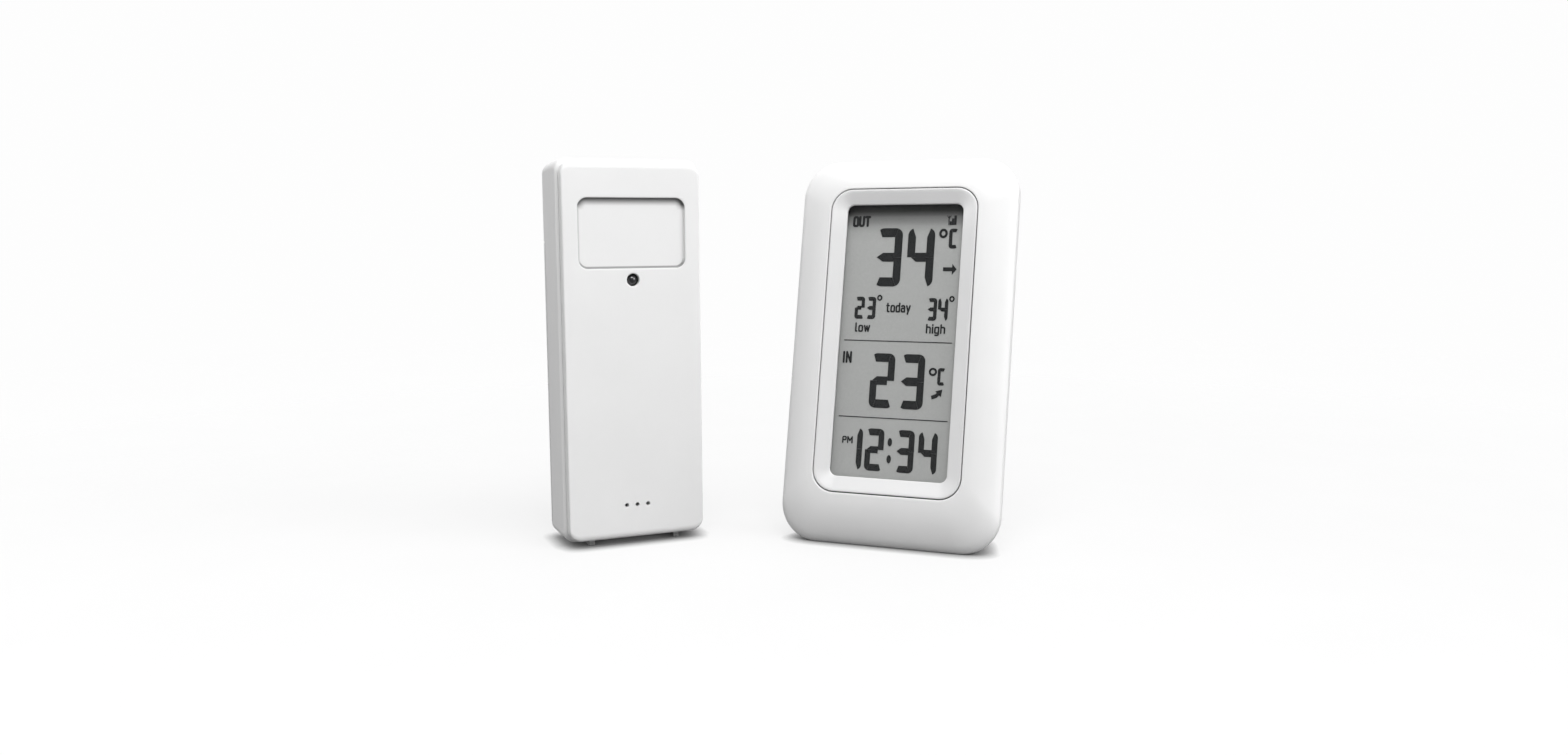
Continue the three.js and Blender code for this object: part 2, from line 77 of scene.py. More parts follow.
SENSOR_X, SENSOR_Y, SENSOR_YAW = -64.48, -21.0, math.radians(45.209)
SENSOR_HALF, SENSOR_Z0, SENSOR_Z1, SENSOR_BACK = 19.03, 2.0, 103.6, 20.33
SENSOR_DOOR_Y, SENSOR_DOOR_Z0, SENSOR_DOOR_Z1 = 17.6, 3.85, 82.5
SENSOR_SCREWS = [(0, 97.9), (10, 7.6)]
PANEL_HALF, PANEL_Z0, PANEL_Z1, PANEL_R, PANEL_DEPTH = 14.75, 75.5, 94.1, 2.6, 0.9
LED_Z, LED_R = 72.35, 1.5

PAST = 30  # y behind both units, where cutters end

RISE = math.tan(LEAN) * (FOOT_Y - EDGE_Y)
AXIS_HEIGHT = (AXIS_Z - RISE) * math.cos(LEAN) - (AXIS_Y - FOOT_Y) * math.sin(LEAN)
TO_METRES = Matrix.Scale(0.001, 4)
# each unit's own frame to the shared frame; the leg's origin is on its hinge, -z down the leg
DISPLAY = Matrix.Rotation(-LEAN, 4, "X") @ Matrix.Translation((0, -FOOT_Y, -RISE))
SENSOR = Matrix.Translation((SENSOR_X, SENSOR_Y, 0)) @ Matrix.Rotation(SENSOR_YAW, 4, "Z")
HINGE = Matrix.Translation((0, AXIS_Y, AXIS_Z))
LEG = DISPLAY @ HINGE @ Matrix.Rotation(LEG_ANGLE + LEAN, 4, "X")


# ---------------------------------------------------------------- outlines and curves
def arc(x, z, radius, start, end, steps=5):
    """Points on a circle about (x, z) from one angle to another, in degrees."""
    angles = [math.radians(start + (end - start) * i / steps) for i in range(steps + 1)]
    return [(x + radius * math.cos(a), z + radius * math.sin(a)) for a in angles]


def rounded(half, z0, z1, radius, steps=12):
    """Rounded rectangle centred on x = 0, anticlockwise from its lower right corner."""
    corners = (
        (half - radius, z0 + radius, -90),
        (half - radius, z1 - radius, 0),
        (-half + radius, z1 - radius, 90),
        (-half + radius, z0 + radius, 180),
    )
    return [q for x, z, start in corners for q in arc(x, z, radius, start, start + 90, steps)]


def rect(x0, x1, z0, z1):
    return [(x0, z0), (x1, z0), (x1, z1), (x0, z1)]


def ellipse(x, z, radius_x, radius_z, steps):
    angles = [2 * math.pi * i / steps for i in range(steps)]
    return [(x + radius_x * math.cos(a), z + radius_z * math.sin(a)) for a in angles]


def shifted(outline, dx=0, dz=0):
    return [(x + dx, z + dz) for x, z in outline]


def spline(points, steps):
    """Centripetal Catmull-Rom curve through the points, each a tuple of numbers."""

    def blend(first, second, knot_1, knot_2, at):
        span = knot_2 - knot_1
        return (knot_2 - at) / span * first + (at - knot_1) / span * second

    rows = np.array(points, float)
    rows = np.vstack([2 * rows[0] - rows[1], rows, 2 * rows[-1] - rows[-2]])
    curve = []
    for i in range(1, len(rows) - 2):
        near = rows[i - 1:i + 3]
        spans = [max(np.linalg.norm(near[j + 1] - near[j]) ** 0.5, 1e-6) for j in range(3)]
        knots = np.cumsum([0.0] + spans)
        for step in range(steps):
            at = knots[1] + (knots[2] - knots[1]) * step / steps
            one = [blend(near[j], near[j + 1], knots[j], knots[j + 1], at) for j in range(3)]
            two = [blend(one[j], one[j + 1], knots[j], knots[j + 2], at) for j in range(2)]
            curve.append(tuple(blend(two[0], two[1], knots[1], knots[2], at)))
    curve.append(tuple(rows[-2]))
    return curve


# ---------------------------------------------------------------- mesh helpers
def add_object(name, data):
    ob = bpy.data.objects.new(name, data)
    bpy.context.scene.collection.objects.link(ob)
    return ob


def new_object(name, verts, faces):
    mesh = bpy.data.meshes.new(name)
    mesh.from_pydata([tuple(map(float, vert)) for vert in verts], [], faces)
    mesh.update()
    return add_object(name, mesh)


def tidy(ob, distance=1e-4, normals=True):
    """Merge close vertices and, unless told otherwise, turn all faces outwards."""
    bm = bmesh.new()
    bm.from_mesh(ob.data)
    bmesh.ops.remove_doubles(bm, verts=bm.verts, dist=distance)
    bmesh.ops.dissolve_degenerate(bm, edges=bm.edges, dist=distance)
    if normals:
        bmesh.ops.recalc_face_normals(bm, faces=bm.faces)
    bm.to_mesh(ob.data)
    bm.free()
    return ob


def loft(rings, name="tool", closed=False):
    """Skin over rings (y, outline): capped at both ends, or joined last to first."""
    count = len(rings[0][1])
    last = len(rings) - 1
    verts = [(x, y, z) for y, outline in rings for x, z in outline]
    faces = []
    for k in range(last + 1 if closed else last):
        here = k * count
        after = (k + 1) % (last + 1) * count
        for i in range(count):
            j = (i + 1) % count
            faces.append((here + i, here + j, after + j, after + i))
    if not closed:
        faces.append(tuple(range(count)))
        faces.append(tuple(last * count + i for i in range(count)))
    return tidy(new_object(name, verts, faces))


def solid(name, near, far):
    """Closed solid between two loops of vertices."""
    n = len(near)
    faces = [tuple(range(n)), tuple(range(2 * n - 1, n - 1, -1))]
    faces += [(i, (i + 1) % n, n + (i + 1) % n, n + i) for i in range(n)]
    return tidy(new_object(name, near + far, faces))


def prism(outline, y0, y1, name="tool"):
    return solid(name, [(x, y0, z) for x, z in outline], [(x, y1, z) for x, z in outline])


def block(x0, x1, y0, y1, z0, z1):
    return prism(rect(x0, x1, z0, z1), y0, y1)


def rod_y(x, z, radius, y0, y1, steps=40):
    return prism(ellipse(x, z, radius, radius, steps), y0, y1)


def rod_x(y, z, radius, x0, x1, steps=40):
    circle = ellipse(y, z, radius, radius, steps)
    return solid("tool", [(x0, *point) for point in circle], [(x1, *point) for point in circle])


def lathe(profile, name="tool", axis="z", steps=64, at=(0, 0, 0), flip=False):
    """Turned solid; profile is (radius, height) points that start and end on the axis."""
    verts, faces, rows = [], [], []
    for radius, height in profile:
        if flip:
            height = -height
        circle = [(0, 0)] if radius < 1e-9 else ellipse(0, 0, radius, radius, steps)
        rows.append(list(range(len(verts), len(verts) + len(circle))))
        verts += [(x, y, height) for x, y in circle]
    for a, b in zip(rows, rows[1:]):
        for i in range(steps):
            j = (i + 1) % steps
            if len(a) == 1 and len(b) > 1:
                faces.append((a[0], b[i], b[j]))
            elif len(b) == 1 and len(a) > 1:
                faces.append((a[i], b[0], a[j]))
            elif len(a) > 1:
                faces.append((a[i], b[i], b[j], a[j]))
    if axis == "y":
        verts = [(x, z, -y) for x, y, z in verts]
    verts = [(x + at[0], y + at[1], z + at[2]) for x, y, z in verts]
    return tidy(new_object(name, verts, faces))


def bake(ob):
    """Apply the modifiers."""
    graph = bpy.context.evaluated_depsgraph_get()
    mesh = bpy.data.meshes.new_from_object(ob.evaluated_get(graph))
    ob.modifiers.clear()
    old, ob.data = ob.data, mesh
    bpy.data.meshes.remove(old)


def boolean(ob, tools, operation, use_self=False):
    for tool in tools:
        modifier = ob.modifiers.new("boolean", "BOOLEAN")
        modifier.object = tool
        modifier.operation = operation
        modifier.solver = "EXACT"
        modifier.use_self = use_self
    bake(ob)
    for tool in tools:
        mesh = tool.data
        bpy.data.objects.remove(tool)
        bpy.data.meshes.remove(mesh)


def cut(ob, *tools):
    boolean(ob, tools, "DIFFERENCE")


def join(ob, *tools):
    boolean(ob, tools, "UNION")


def bevel(ob, width, segments, angle):
    """Round the edges sharper than the angle, in degrees."""
    tidy(ob, 2e-3, normals=False)
    modifier = ob.modifiers.new("bevel", "BEVEL")
    modifier.width = width
    modifier.segments = segments
    modifier.limit_method = "ANGLE"
    modifier.angle_limit = math.radians(angle)
    modifier.use_clamp_overlap = False
    modifier.miter_outer = "MITER_ARC"
    bake(ob)


def coat(ob, material, sharp):
    """Material and smooth shading, broken at edges sharper than the angle in degrees."""
    for face in ob.data.polygons:
        face.use_smooth = True
    ob.data.set_sharp_from_angle(angle=math.radians(sharp))
    ob.data.materials.clear()
    ob.data.materials.append(material)


def weigh_normals(ob):
    modifier = ob.modifiers.new("normals", "WEIGHTED_NORMAL")
    modifier.keep_sharp = True
    return modifier


def place(ob, frame, body, material, slot, replaces=None, sharp=35, weighted=True):
    ob.data.transform(TO_METRES @ frame)
    ob.data.update()
    coat(ob, material, sharp)
    if weighted:
        weigh_normals(ob).weight = 80
    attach(ob, body)
    if replaces:
        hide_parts(replaces)


def finish_node(name, material, sharp=35, ease=0.0):
    """Keep a CAD node, with a new material, soft shading and edges eased by so many mm."""
    ob = NODES[name]
    ob.modifiers.new("weld", "WELD").merge_threshold = 1e-6
    if ease:
        flat = ob.modifiers.new("flat", "DECIMATE")
        flat.decimate_type = "DISSOLVE"
        flat.angle_limit = math.radians(1)
        edge = ob.modifiers.new("ease", "BEVEL")
        edge.width = ease * 0.001
        edge.segments = 2
        edge.limit_method = "ANGLE"
        edge.angle_limit = math.radians(40)
        edge.use_clamp_overlap = True
    weigh_normals(ob)
    coat(ob, material, sharp)


# ---------------------------------------------------------------- shader helpers
def grey(level):
    return (level,) * 3


class Graph:
    """Node tree of a material or world. Lengths in it are in metres."""

    def __init__(self, owner, space="Object"):
        owner.use_nodes = True
        self.owner = owner
        self.nodes = owner.node_tree.nodes
        self.where = self.add("TexCoord").outputs[space]

    def feed(self, socket, value):
        """Link an output to the socket, or set it to a number or an RGB colour."""
        if isinstance(value, bpy.types.NodeSocket):
            self.owner.node_tree.links.new(value, socket)
        elif isinstance(value, tuple):
            socket.default_value = (*value, 1)
        else:
            socket.default_value = value

    def feed_named(self, node, inputs):
        for name, value in inputs.items():
            self.feed(node.inputs[name.replace("_", " ")], value)

    def add(self, kind, **inputs):
        """New shader node; inputs are named with _ for each space."""
        node = self.nodes.new("ShaderNode" + kind)
        self.feed_named(node, inputs)
        return node

    def surface(self, **inputs):
        """Set the principled shader's inputs and return the material."""
        self.feed_named(self.nodes["Principled BSDF"], inputs)
        return self.owner

    def noise(self, scale, detail=2, roughness=0.5):
        return self.add("TexNoise", Scale=scale, Detail=detail, Roughness=roughness,
                        Vector=self.where).outputs["Fac"]

    def ramp(self, value, stops, interpolation="LINEAR"):
        """Colour ramp; stops are (position, colour)."""
        node = self.add("ValToRGB")
        node.color_ramp.interpolation = interpolation
        elements = node.color_ramp.elements
        while len(elements) < len(stops):
            elements.new(0.5)
        for element, (position, colour) in zip(elements, stops):
            element.position = position
            element.color = (*colour, 1)
        self.feed(node.inputs["Fac"], value)
        return node.outputs["Color"]

    def remap(self, value, old, new):
        """Stretch the range old = (start, end) to the range new, clamped."""
        return self.add("MapRange", From_Min=old[0], From_Max=old[1], To_Min=new[0],
                        To_Max=new[1], Value=value).outputs["Result"]

    def calc(self, operation, first, second=0.0, *rest):
        node = self.add("Math")
        node.operation = operation
        for socket, value in zip(node.inputs, (first, second, *rest)):
            self.feed(socket, value)
        return node.outputs[0]

    def dot(self, direction, offset=0.0):
        """Coordinate along a direction, plus an offset."""
        node = self.add("VectorMath")
        node.operation = "DOT_PRODUCT"
        self.feed(node.inputs[0], self.where)
        node.inputs[1].default_value = direction
        return self.calc("ADD", node.outputs["Value"], offset)

    def along(self, frame, axis):
        """A coordinate of a unit's own frame, in metres."""
        row = frame.inverted()["xyz".index(axis)]
        return self.dot((row[0], row[1], row[2]), row[3] * 0.001)

    def mm_along(self, frame, axis):
        return self.calc("MULTIPLY", self.along(frame, axis), 1000.0)

    def occlusion(self, samples, distance):
        node = self.add("AmbientOcclusion", Distance=distance)
        node.samples = samples
        return node.outputs["AO"]

    def bump(self, height, strength, distance, **normal):
        return self.add("Bump", Strength=strength, Distance=distance, Height=height,
                        **normal).outputs["Normal"]

    def mix_color(self, factor, first, second, mode="MIX"):
        node = self.add("Mix")
        node.data_type = "RGBA"
        node.blend_type = mode
        self.feed(node.inputs["Factor"], factor)
        # sockets 6, 7 and output 2 are the colour ones
        self.feed(node.inputs[6], first)
        self.feed(node.inputs[7], second)
        return node.outputs[2]

    def multiply(self, first, second):
        return self.mix_color(1.0, first, second, "MULTIPLY")

    def mix_shader(self, factor, first, second):
        node = self.add("MixShader", Fac=factor)
        self.feed(node.inputs[1], first)
        self.feed(node.inputs[2], second)
        return node.outputs[0]


def material_graph(name):
    return Graph(bpy.data.materials.new(name))


# noise mostly lies in this range
MIDDLE = (0.3, 0.7)
BLACK_TO_WHITE = [(0.0, grey(0)), (1.0, grey(1))]


# ---------------------------------------------------------------- materials
def plastic(name, colour, rough=0.42, grain=1.0, painted_shading=None):
    """Moulded ABS: fine grain, faint flow variation, and painted shade darkening its corners and
    creases.
    """
    graph = material_graph(name)
    flow = graph.noise(scale=55, detail=3)
    fine = graph.noise(scale=2600)
    grit = graph.noise(scale=900, detail=3, roughness=0.6)
    dim = tuple(c * 0.985 for c in colour)
    bright = tuple(min(1, c * 1.012) for c in colour)
    base = graph.ramp(flow, [(0.3, dim), (0.7, bright)])
    # painted shade: ambient occlusion darkens the colour in corners and creases
    corners = graph.occlusion(samples=4, distance=0.0012)
    base = graph.multiply(base, graph.remap(corners, old=(0.25, 0.9), new=(0.82, 1.0)))
    # multiply in the part's painted light and shade
    if painted_shading:
        base = graph.multiply(base, painted_shading(graph))
    graph.surface(
        Base_Color=base,
        Roughness=graph.remap(grit, old=MIDDLE, new=(rough - 0.05, rough + 0.07)),
        Specular_IOR_Level=0.45,
    )
    coarse = graph.bump(grit, strength=0.10 * grain, distance=0.00004)
    both = graph.bump(fine, strength=0.18 * grain, distance=0.00002, Normal=coarse)
    return graph.surface(Normal=both)


def recess_shade(graph):
    """Painted shadow under the top edge of the label recess, and a darker line along its walls."""
    calc, remap = graph.calc, graph.remap
    x = graph.mm_along(SENSOR, "x")
    z = graph.mm_along(SENSOR, "z")
    # depth: distance inwards from the rounded outline
    mid_z, half_z = (PANEL_Z0 + PANEL_Z1) / 2, (PANEL_Z1 - PANEL_Z0) / 2
    past_x = calc("SUBTRACT", calc("ABSOLUTE", x), PANEL_HALF - PANEL_R)
    from_mid = calc("ABSOLUTE", calc("SUBTRACT", z, mid_z))
    past_z = calc("SUBTRACT", from_mid, half_z - PANEL_R)
    corner_x = calc("MAXIMUM", past_x, 0.0)
    corner_z = calc("MAXIMUM", past_z, 0.0)
    squares = [calc("MULTIPLY", side, side) for side in (corner_x, corner_z)]
    corner = calc("SQRT", calc("ADD", *squares))
    within = calc("MINIMUM", calc("MAXIMUM", past_x, past_z), 0.0)
    depth = calc("SUBTRACT", PANEL_R, calc("ADD", corner, within))

    inside = remap(depth, old=(-0.12, -0.02), new=(0.0, 1.0))
    line = calc("MULTIPLY", remap(depth, old=(0.36, 0.62), new=(1.0, 0.0)), inside)
    # painted shadow cast by the top wall onto the floor of the recess
    under = calc("MULTIPLY", remap(depth, old=(0.1, 2.1), new=(0.78, 0.0)), inside)
    under = calc("MULTIPLY", under, remap(z, old=(90.9, 92.4), new=(0.0, 1.0)))
    low = calc("MULTIPLY", line, remap(z, old=(78.2, 76.6), new=(0.0, 0.68)))
    left = calc("MULTIPLY", line, remap(x, old=(-12.5, -13.8), new=(0.0, 0.30)))
    shadow_and_line = calc("MAXIMUM", calc("MAXIMUM", under, low), left)
    return graph.ramp(calc("SUBTRACT", 1.0, shadow_and_line), BLACK_TO_WHITE)


def feet_painted_shadow(graph):
    """Painted shadow on the two feet under the sensor: grey below 1.5 mm."""
    height = graph.remap(graph.mm_along(SENSOR, "z"), old=(1.0, 1.5), new=(0.0, 1.0))
    return graph.ramp(height, [(0.0, grey(0.42)), (1.0, grey(1))])


def ring_painted_light(graph):
    """Painted light: the ring is a little brighter at its bottom and top."""
    height = graph.remap(graph.mm_along(DISPLAY, "z"), old=(14.0, 98.0), new=(0.0, 1.0))
    levels = ((0.0, 1.04), (0.12, 1.02), (0.85, 1.0), (0.95, 1.10))
    return graph.ramp(height, [(position, grey(level)) for position, level in levels])


def metal(name, colour, rough):
    graph = material_graph(name)
    worn = graph.noise(scale=1800, detail=4, roughness=0.7)
    return graph.surface(
        Base_Color=graph.ramp(worn, [(0.2, tuple(c * 0.85 for c in colour)), (0.8, colour)]),
        Roughness=graph.remap(worn, old=(0.2, 0.8), new=(rough - 0.08, rough + 0.1)),
        Metallic=1.0,
        Normal=graph.bump(worn, strength=0.08, distance=0.00003),
    )


def clear_acrylic():
    """Passes light straight through, with a weak reflection at grazing angles."""
    graph = material_graph("clear_acrylic")
    graph.nodes.remove(graph.nodes["Principled BSDF"])
    clear = graph.add("BsdfTransparent", Color=(0.985, 0.988, 0.986))
    smear = graph.noise(scale=300, detail=3)
    gloss = graph.add("BsdfGlossy", Roughness=graph.remap(smear, old=MIDDLE, new=(0.03, 0.07)))
    fresnel = graph.add("Fresnel", IOR=1.3).outputs["Fac"]
    backfacing = graph.add("NewGeometry").outputs["Backfacing"]
    front = graph.remap(backfacing, old=(0, 1), new=(1, 0))
    share = graph.calc("MULTIPLY", fresnel, front)
    mixed = graph.mix_shader(share, clear.outputs[0], gloss.outputs[0])
    graph.feed(graph.nodes["Material Output"].inputs["Surface"], mixed)
    return graph.owner


# painted shadow of the bezel's top edge: (share of the way up the top strip of the glass, brightness)
LCD_PAINTED_SHADOW = [
    (0.0, 0.985), (0.25, 0.92), (0.43, 0.735), (0.52, 0.55), (0.57, 0.485), (0.62, 0.43),
    (0.665, 0.39), (0.70, 0.285), (0.736, 0.225), (0.775, 0.18), (0.81, 0.135), (0.95, 0.12),
]


def lcd_reflector():
    """Cool grey with a faint pearly grain, and a painted shadow under the top edge of the bezel."""
    graph = material_graph("lcd_reflector")
    height = graph.remap(graph.along(DISPLAY, "z"), old=(0.0835, 0.0945), new=(0, 1))
    # painted shadow of the bezel's top edge
    painted_bezel_shadow = graph.ramp(height, [(position, grey(level)) for position, level in LCD_PAINTED_SHADOW])
    pearl = graph.ramp(
        graph.noise(scale=1500, detail=3, roughness=0.6),
        [(0.3, (0.445, 0.447, 0.443)), (0.7, (0.475, 0.477, 0.473))],
    )
    base = graph.multiply(pearl, painted_bezel_shadow)
    return graph.surface(Base_Color=base, Roughness=0.55, Specular_IOR_Level=0.25)


def lcd_ink():
    graph = material_graph("lcd_segment")
    stops = [(0.3, (0.012, 0.013, 0.014)), (0.7, (0.018, 0.019, 0.020))]
    base = graph.ramp(graph.noise(scale=700), stops)
    return graph.surface(Base_Color=base, Roughness=0.5, Specular_IOR_Level=0.2)


def solder_mask():
    graph = material_graph("solder_mask")
    brick = graph.add("TexBrick", Scale=260, Color1=(0.02, 0.13, 0.05),
                      Color2=(0.025, 0.16, 0.065), Mortar=(0.04, 0.24, 0.10),
                      Vector=graph.where)
    rough = graph.remap(graph.noise(scale=400), old=MIDDLE, new=(0.3, 0.45))
    return graph.surface(Base_Color=brick.outputs["Color"], Roughness=rough)


# (share of the cell's length, colour from there on): bare end, sleeve, band, sleeve, bare end
CELL_PRINT = [
    (0.0, (0.62, 0.61, 0.59)), (0.018, (0.045, 0.06, 0.075)), (0.70, (0.60, 0.47, 0.20)),
    (0.73, (0.075, 0.18, 0.16)), (0.955, (0.62, 0.61, 0.59)),
]
CELL_METAL = [(0.0, 1.0), (0.018, 0.25), (0.955, 1.0)]  # (share of the length, metallic)


def cell_print(name, frame, z0, z1, up):
    """Printed sleeve with a plain band, for a cell from z0 to z1 in the unit's frame."""
    graph = material_graph(name)
    length = graph.remap(graph.along(frame, "z"), old=(z0 * 0.001, z1 * 0.001),
                         new=(0, 1) if up else (1, 0))
    graph.surface(Base_Color=graph.ramp(length, CELL_PRINT, "CONSTANT"))
    metallic = graph.add("ValToRGB", Fac=length)
    metallic.color_ramp.interpolation = "CONSTANT"
    elements = metallic.color_ramp.elements
    # the first two elements are looked up before the third is added
    for element, (position, level) in zip([elements[0], elements[1], elements.new(0.5)], CELL_METAL):
        element.position = position
        element.color = (level, level, level, 1)
    rough = graph.noise(scale=600, detail=3)
    return graph.surface(
        Metallic=metallic.outputs["Color"],
        Roughness=graph.remap(rough, old=MIDDLE, new=(0.24, 0.36)),
    )


def indicator_epoxy():
    """Clear epoxy over a dark cup: near black, lightened towards its rim by a painted sheen, with a
    sharp highlight.
    """
    graph = material_graph("indicator_epoxy")
    # painted sheen: the colour lightens where the dome is seen edge-on
    painted_rim_sheen = graph.add("LayerWeight", Blend=0.35).outputs["Facing"]
    stops = [(0.0, (0.012, 0.012, 0.014)), (0.6, (0.03, 0.03, 0.033)), (1.0, (0.09, 0.09, 0.095))]
    return graph.surface(
        Base_Color=graph.ramp(painted_rim_sheen, stops),
        Roughness=graph.remap(graph.noise(scale=900), old=MIDDLE, new=(0.08, 0.14)),
        Coat_Weight=0.6,
    )


WHITE = plastic("white_abs", grey(0.835))
WHITE_IN = plastic("white_abs_inside", grey(0.74), rough=0.5)
RING = plastic("bezel_satin", (0.735, 0.735, 0.737), rough=0.36, grain=0.5, painted_shading=ring_painted_light)
WHITE_COVER = plastic("white_abs_cover", grey(0.765), painted_shading=recess_shade)
WHITE_SHELL = plastic("white_abs_shell", grey(0.80), painted_shading=feet_painted_shadow)
BUTTON = plastic("button_grey", (0.50, 0.50, 0.51), rough=0.55, grain=1.6)
DARK = plastic("dark_moulding", (0.025, 0.025, 0.027), rough=0.45)
ELASTOMER = plastic("elastomer_strip", (0.22, 0.22, 0.23), rough=0.7)
STEEL = metal("nickel_plate", (0.62, 0.61, 0.59), rough=0.28)
COPPER = metal("enamelled_copper", (0.72, 0.36, 0.17), rough=0.3)
LENS = clear_acrylic()
LCD = lcd_reflector()
INK = lcd_ink()
BOARD = solder_mask()
LED = indicator_epoxy()


# ---------------------------------------------------------------- display: frame and bezel
def between(inner, outer, share):
    """Outline part of the way between two, each (half width, z0, z1, corner radius)."""
    return rounded(*(a + (b - a) * share for a, b in zip(inner, outer)), steps=14)


def ring_solid(name, inner, outer, path):
    """Closed ring; path is the (share, y) section between the two outlines."""
    return loft([(y, between(inner, outer, share)) for share, y in path], name, closed=True)


def foot_cut():
    """Everything under the table plane, in the display's own frame."""
    tool = block(-60, 60, -60, 60, -60, 0)
    tool.data.transform(Matrix.Translation((0, EDGE_Y, 0)) @ Matrix.Rotation(LEAN, 4, "X"))
    return tool


# front frame; the share runs from the groove (0) to the outside of the case (1)
FRAME_INNER = (RING_HALF + GROOVE, RING_Z0 - 0.12, RING_Z1 + GROOVE, RING_R + GROOVE)
FRAME_OUTER = (CASE_HALF, 0, CASE_H, CASE_R)
FRAME_DOME = [
    (0.03, 0.0), (0.2, 0.2), (0.4, 0.66), (0.6, 1.4), (0.76, 2.2),
    (0.88, 3.0), (0.955, 3.8), (0.99, 4.4), (1.0, 5.0),
]
FRAME_PATH = [
    (0.0, 2.0), (0.0, 0.32), (0.003, 0.15), (0.012, 0.04),
    *spline(FRAME_DOME, 5),
    (1.0, 6.5), (0.996, 6.9), (0.982, 7.12), (0.955, 7.2),
    (0.82, 7.2), (0.82, 5.3), (0.6, 3.4), (0.3, 2.3),
]
part = ring_solid("front_frame_moulding", FRAME_INNER, FRAME_OUTER, FRAME_PATH)
cut(part, foot_cut())
bevel(part, 0.18, segments=2, angle=60)
place(part, DISPLAY, "display_case", WHITE, "white_shell", "front_frame")

# bezel ring, sloping down from the groove (0) to the window (1)
BEZEL_OUTER = (RING_HALF - GROOVE, RING_Z0 + 0.13, RING_Z1 - GROOVE, RING_R - GROOVE)
BEZEL_INNER = (WINDOW_HALF, WINDOW_Z0, WINDOW_Z1, WINDOW_R)
BEZEL_PATH = [
    (0, 3.5), (0, 0.45), (0.004, 0.24), (0.014, 0.11), (0.034, 0.045), (0.07, 0.03),
    (0.11, 0.035), (0.25, 0.24), (0.5, 0.70), (0.75, 1.13), (0.93, 1.45), (0.965, 1.53),
    (0.988, 1.64), (1.0, 1.80), (1.0, WINDOW_Y + 0.5), (0.42, WINDOW_Y + 0.5), (0.42, 3.5),
]
part = ring_solid("bezel_ring_moulding", BEZEL_OUTER, BEZEL_INNER, BEZEL_PATH)
place(part, DISPLAY, "display_case", RING, "bezel_grey", "bezel_ring", sharp=50)

for node, material, ease in (
    ("window_lens", LENS, 0.15),
    ("lcd_glass", LCD, 0.1),
    ("lcd_backplate", WHITE_IN, 0.2),
    ("lcd_connector_strip", ELASTOMER, 0.2),
    ("display_board", BOARD, 0.1),
):
    finish_node(node, material, sharp=30, ease=ease)

# ---------------------------------------------------------------- display: read-out
INK_Y0, INK_Y1 = LCD_FRONT - 0.09, LCD_FRONT - 0.04
# strokes of each character: A top, B C right, D bottom, E F left, G middle
STROKES = {"1": "BC", "2": "ABGED", "3": "ABGCD", "4": "FGBC", "C": "AFED"}


def add_slab(verts, faces, outline):
    """Add a thin plate of ink with this outline to the lists."""
    n, k = len(outline), len(verts)
    verts.extend([(x, INK_Y0, z) for x, z in outline] + [(x, INK_Y1, z) for x, z in outline])
    faces.append(tuple(range(k, k + n)))
    faces.append(tuple(range(k + 2 * n - 1, k + n - 1, -1)))
    for i in range(n):
        j = (i + 1) % n
        faces.append((k + j, k + i, k + n + i, k + n + j))


def clip(outline, start, end, inset=0.0):
    """Part of a convex outline left of the line start to end, the line moved left by inset."""
    dx, dz = end[0] - start[0], end[1] - start[1]
    length = math.hypot(dx, dz)
    x0, z0 = start[0] - dz / length * inset, start[1] + dx / length * inset

    def side(point):
        return dx * (point[1] - z0) - dz * (point[0] - x0)

    kept = []
    for i, here in enumerate(outline):
        after = outline[(i + 1) % len(outline)]
        side_1, side_2 = side(here), side(after)
        if side_1 >= 0:
            kept.append(here)
        if side_1 > 0 > side_2 or side_1 < 0 < side_2:
            share = side_1 / (side_1 - side_2)
            kept.append(tuple(a + (b - a) * share for a, b in zip(here, after)))
    return kept


def stroke(name, width, height, upright, level, gap, left=0.0, right=0.0):
    """One outer stroke of a character cell, with mitred joints.

    upright and level are the thicknesses of the two kinds of stroke; left and right
    lengthen the ends of a level stroke.
    """
    size = (width, height, upright, level, gap, left, right)
    if name in "CDE":
        above = stroke({"C": "B", "D": "A", "E": "F"}[name], *size)
        return [(x, height - z) for x, z in reversed(above)]
    if name == "F":
        return [(width - x, z) for x, z in reversed(stroke("B", *size))]
    miter = 0.42 * upright
    under, inner = height - level, width - upright
    shape = shifted(rounded(width / 2, 0, height, upright * 0.92, 6), width / 2)
    if name == "A":
        shape = clip(shape, (0, under), (width, under))
        shape = clip(shape, (upright - miter - left, height), (upright - left, under), gap / 2)
        return clip(shape, (inner + right, under), (inner + miter + right, height), gap / 2)
    shape = clip(shape, (inner, height), (inner, 0))
    shape = clip(shape, (inner + miter, height), (inner, under), gap / 2)
    return clip(shape, (inner, height / 2), (width, height / 2), gap / 2)


def crossbar(char, width, height, upright, level, gap):
    """Middle stroke: its left end differs from character to character."""
    mid = height / 2
    low, high, seam = mid - level / 2, mid + level / 2, mid + gap / 2
    left, right = upright + gap / 2, width - upright - gap / 2
    if char == "4":
        return [(upright * 0.5, mid - gap / 2), (upright * 1.15, low), (right, low),
                (right, high), (left, high), (left, seam)]
    if char == "2":
        return [(left, low), (right, low), (right, high), (upright * 0.95, high),
                (upright * 0.3, seam), (left, seam)]
    return [(0.15 * upright, mid), (0.95 * upright, low), (right, low), (right, high),
            (0.95 * upright, high)]


ink_verts, ink_faces = [], []


def ink(outline):
    pairs = zip(outline, outline[1:] + outline[:1])
    if sum(a[0] * b[1] - b[0] * a[1] for a, b in pairs) < 0:
        outline = outline[::-1]
    add_slab(ink_verts, ink_faces, outline)


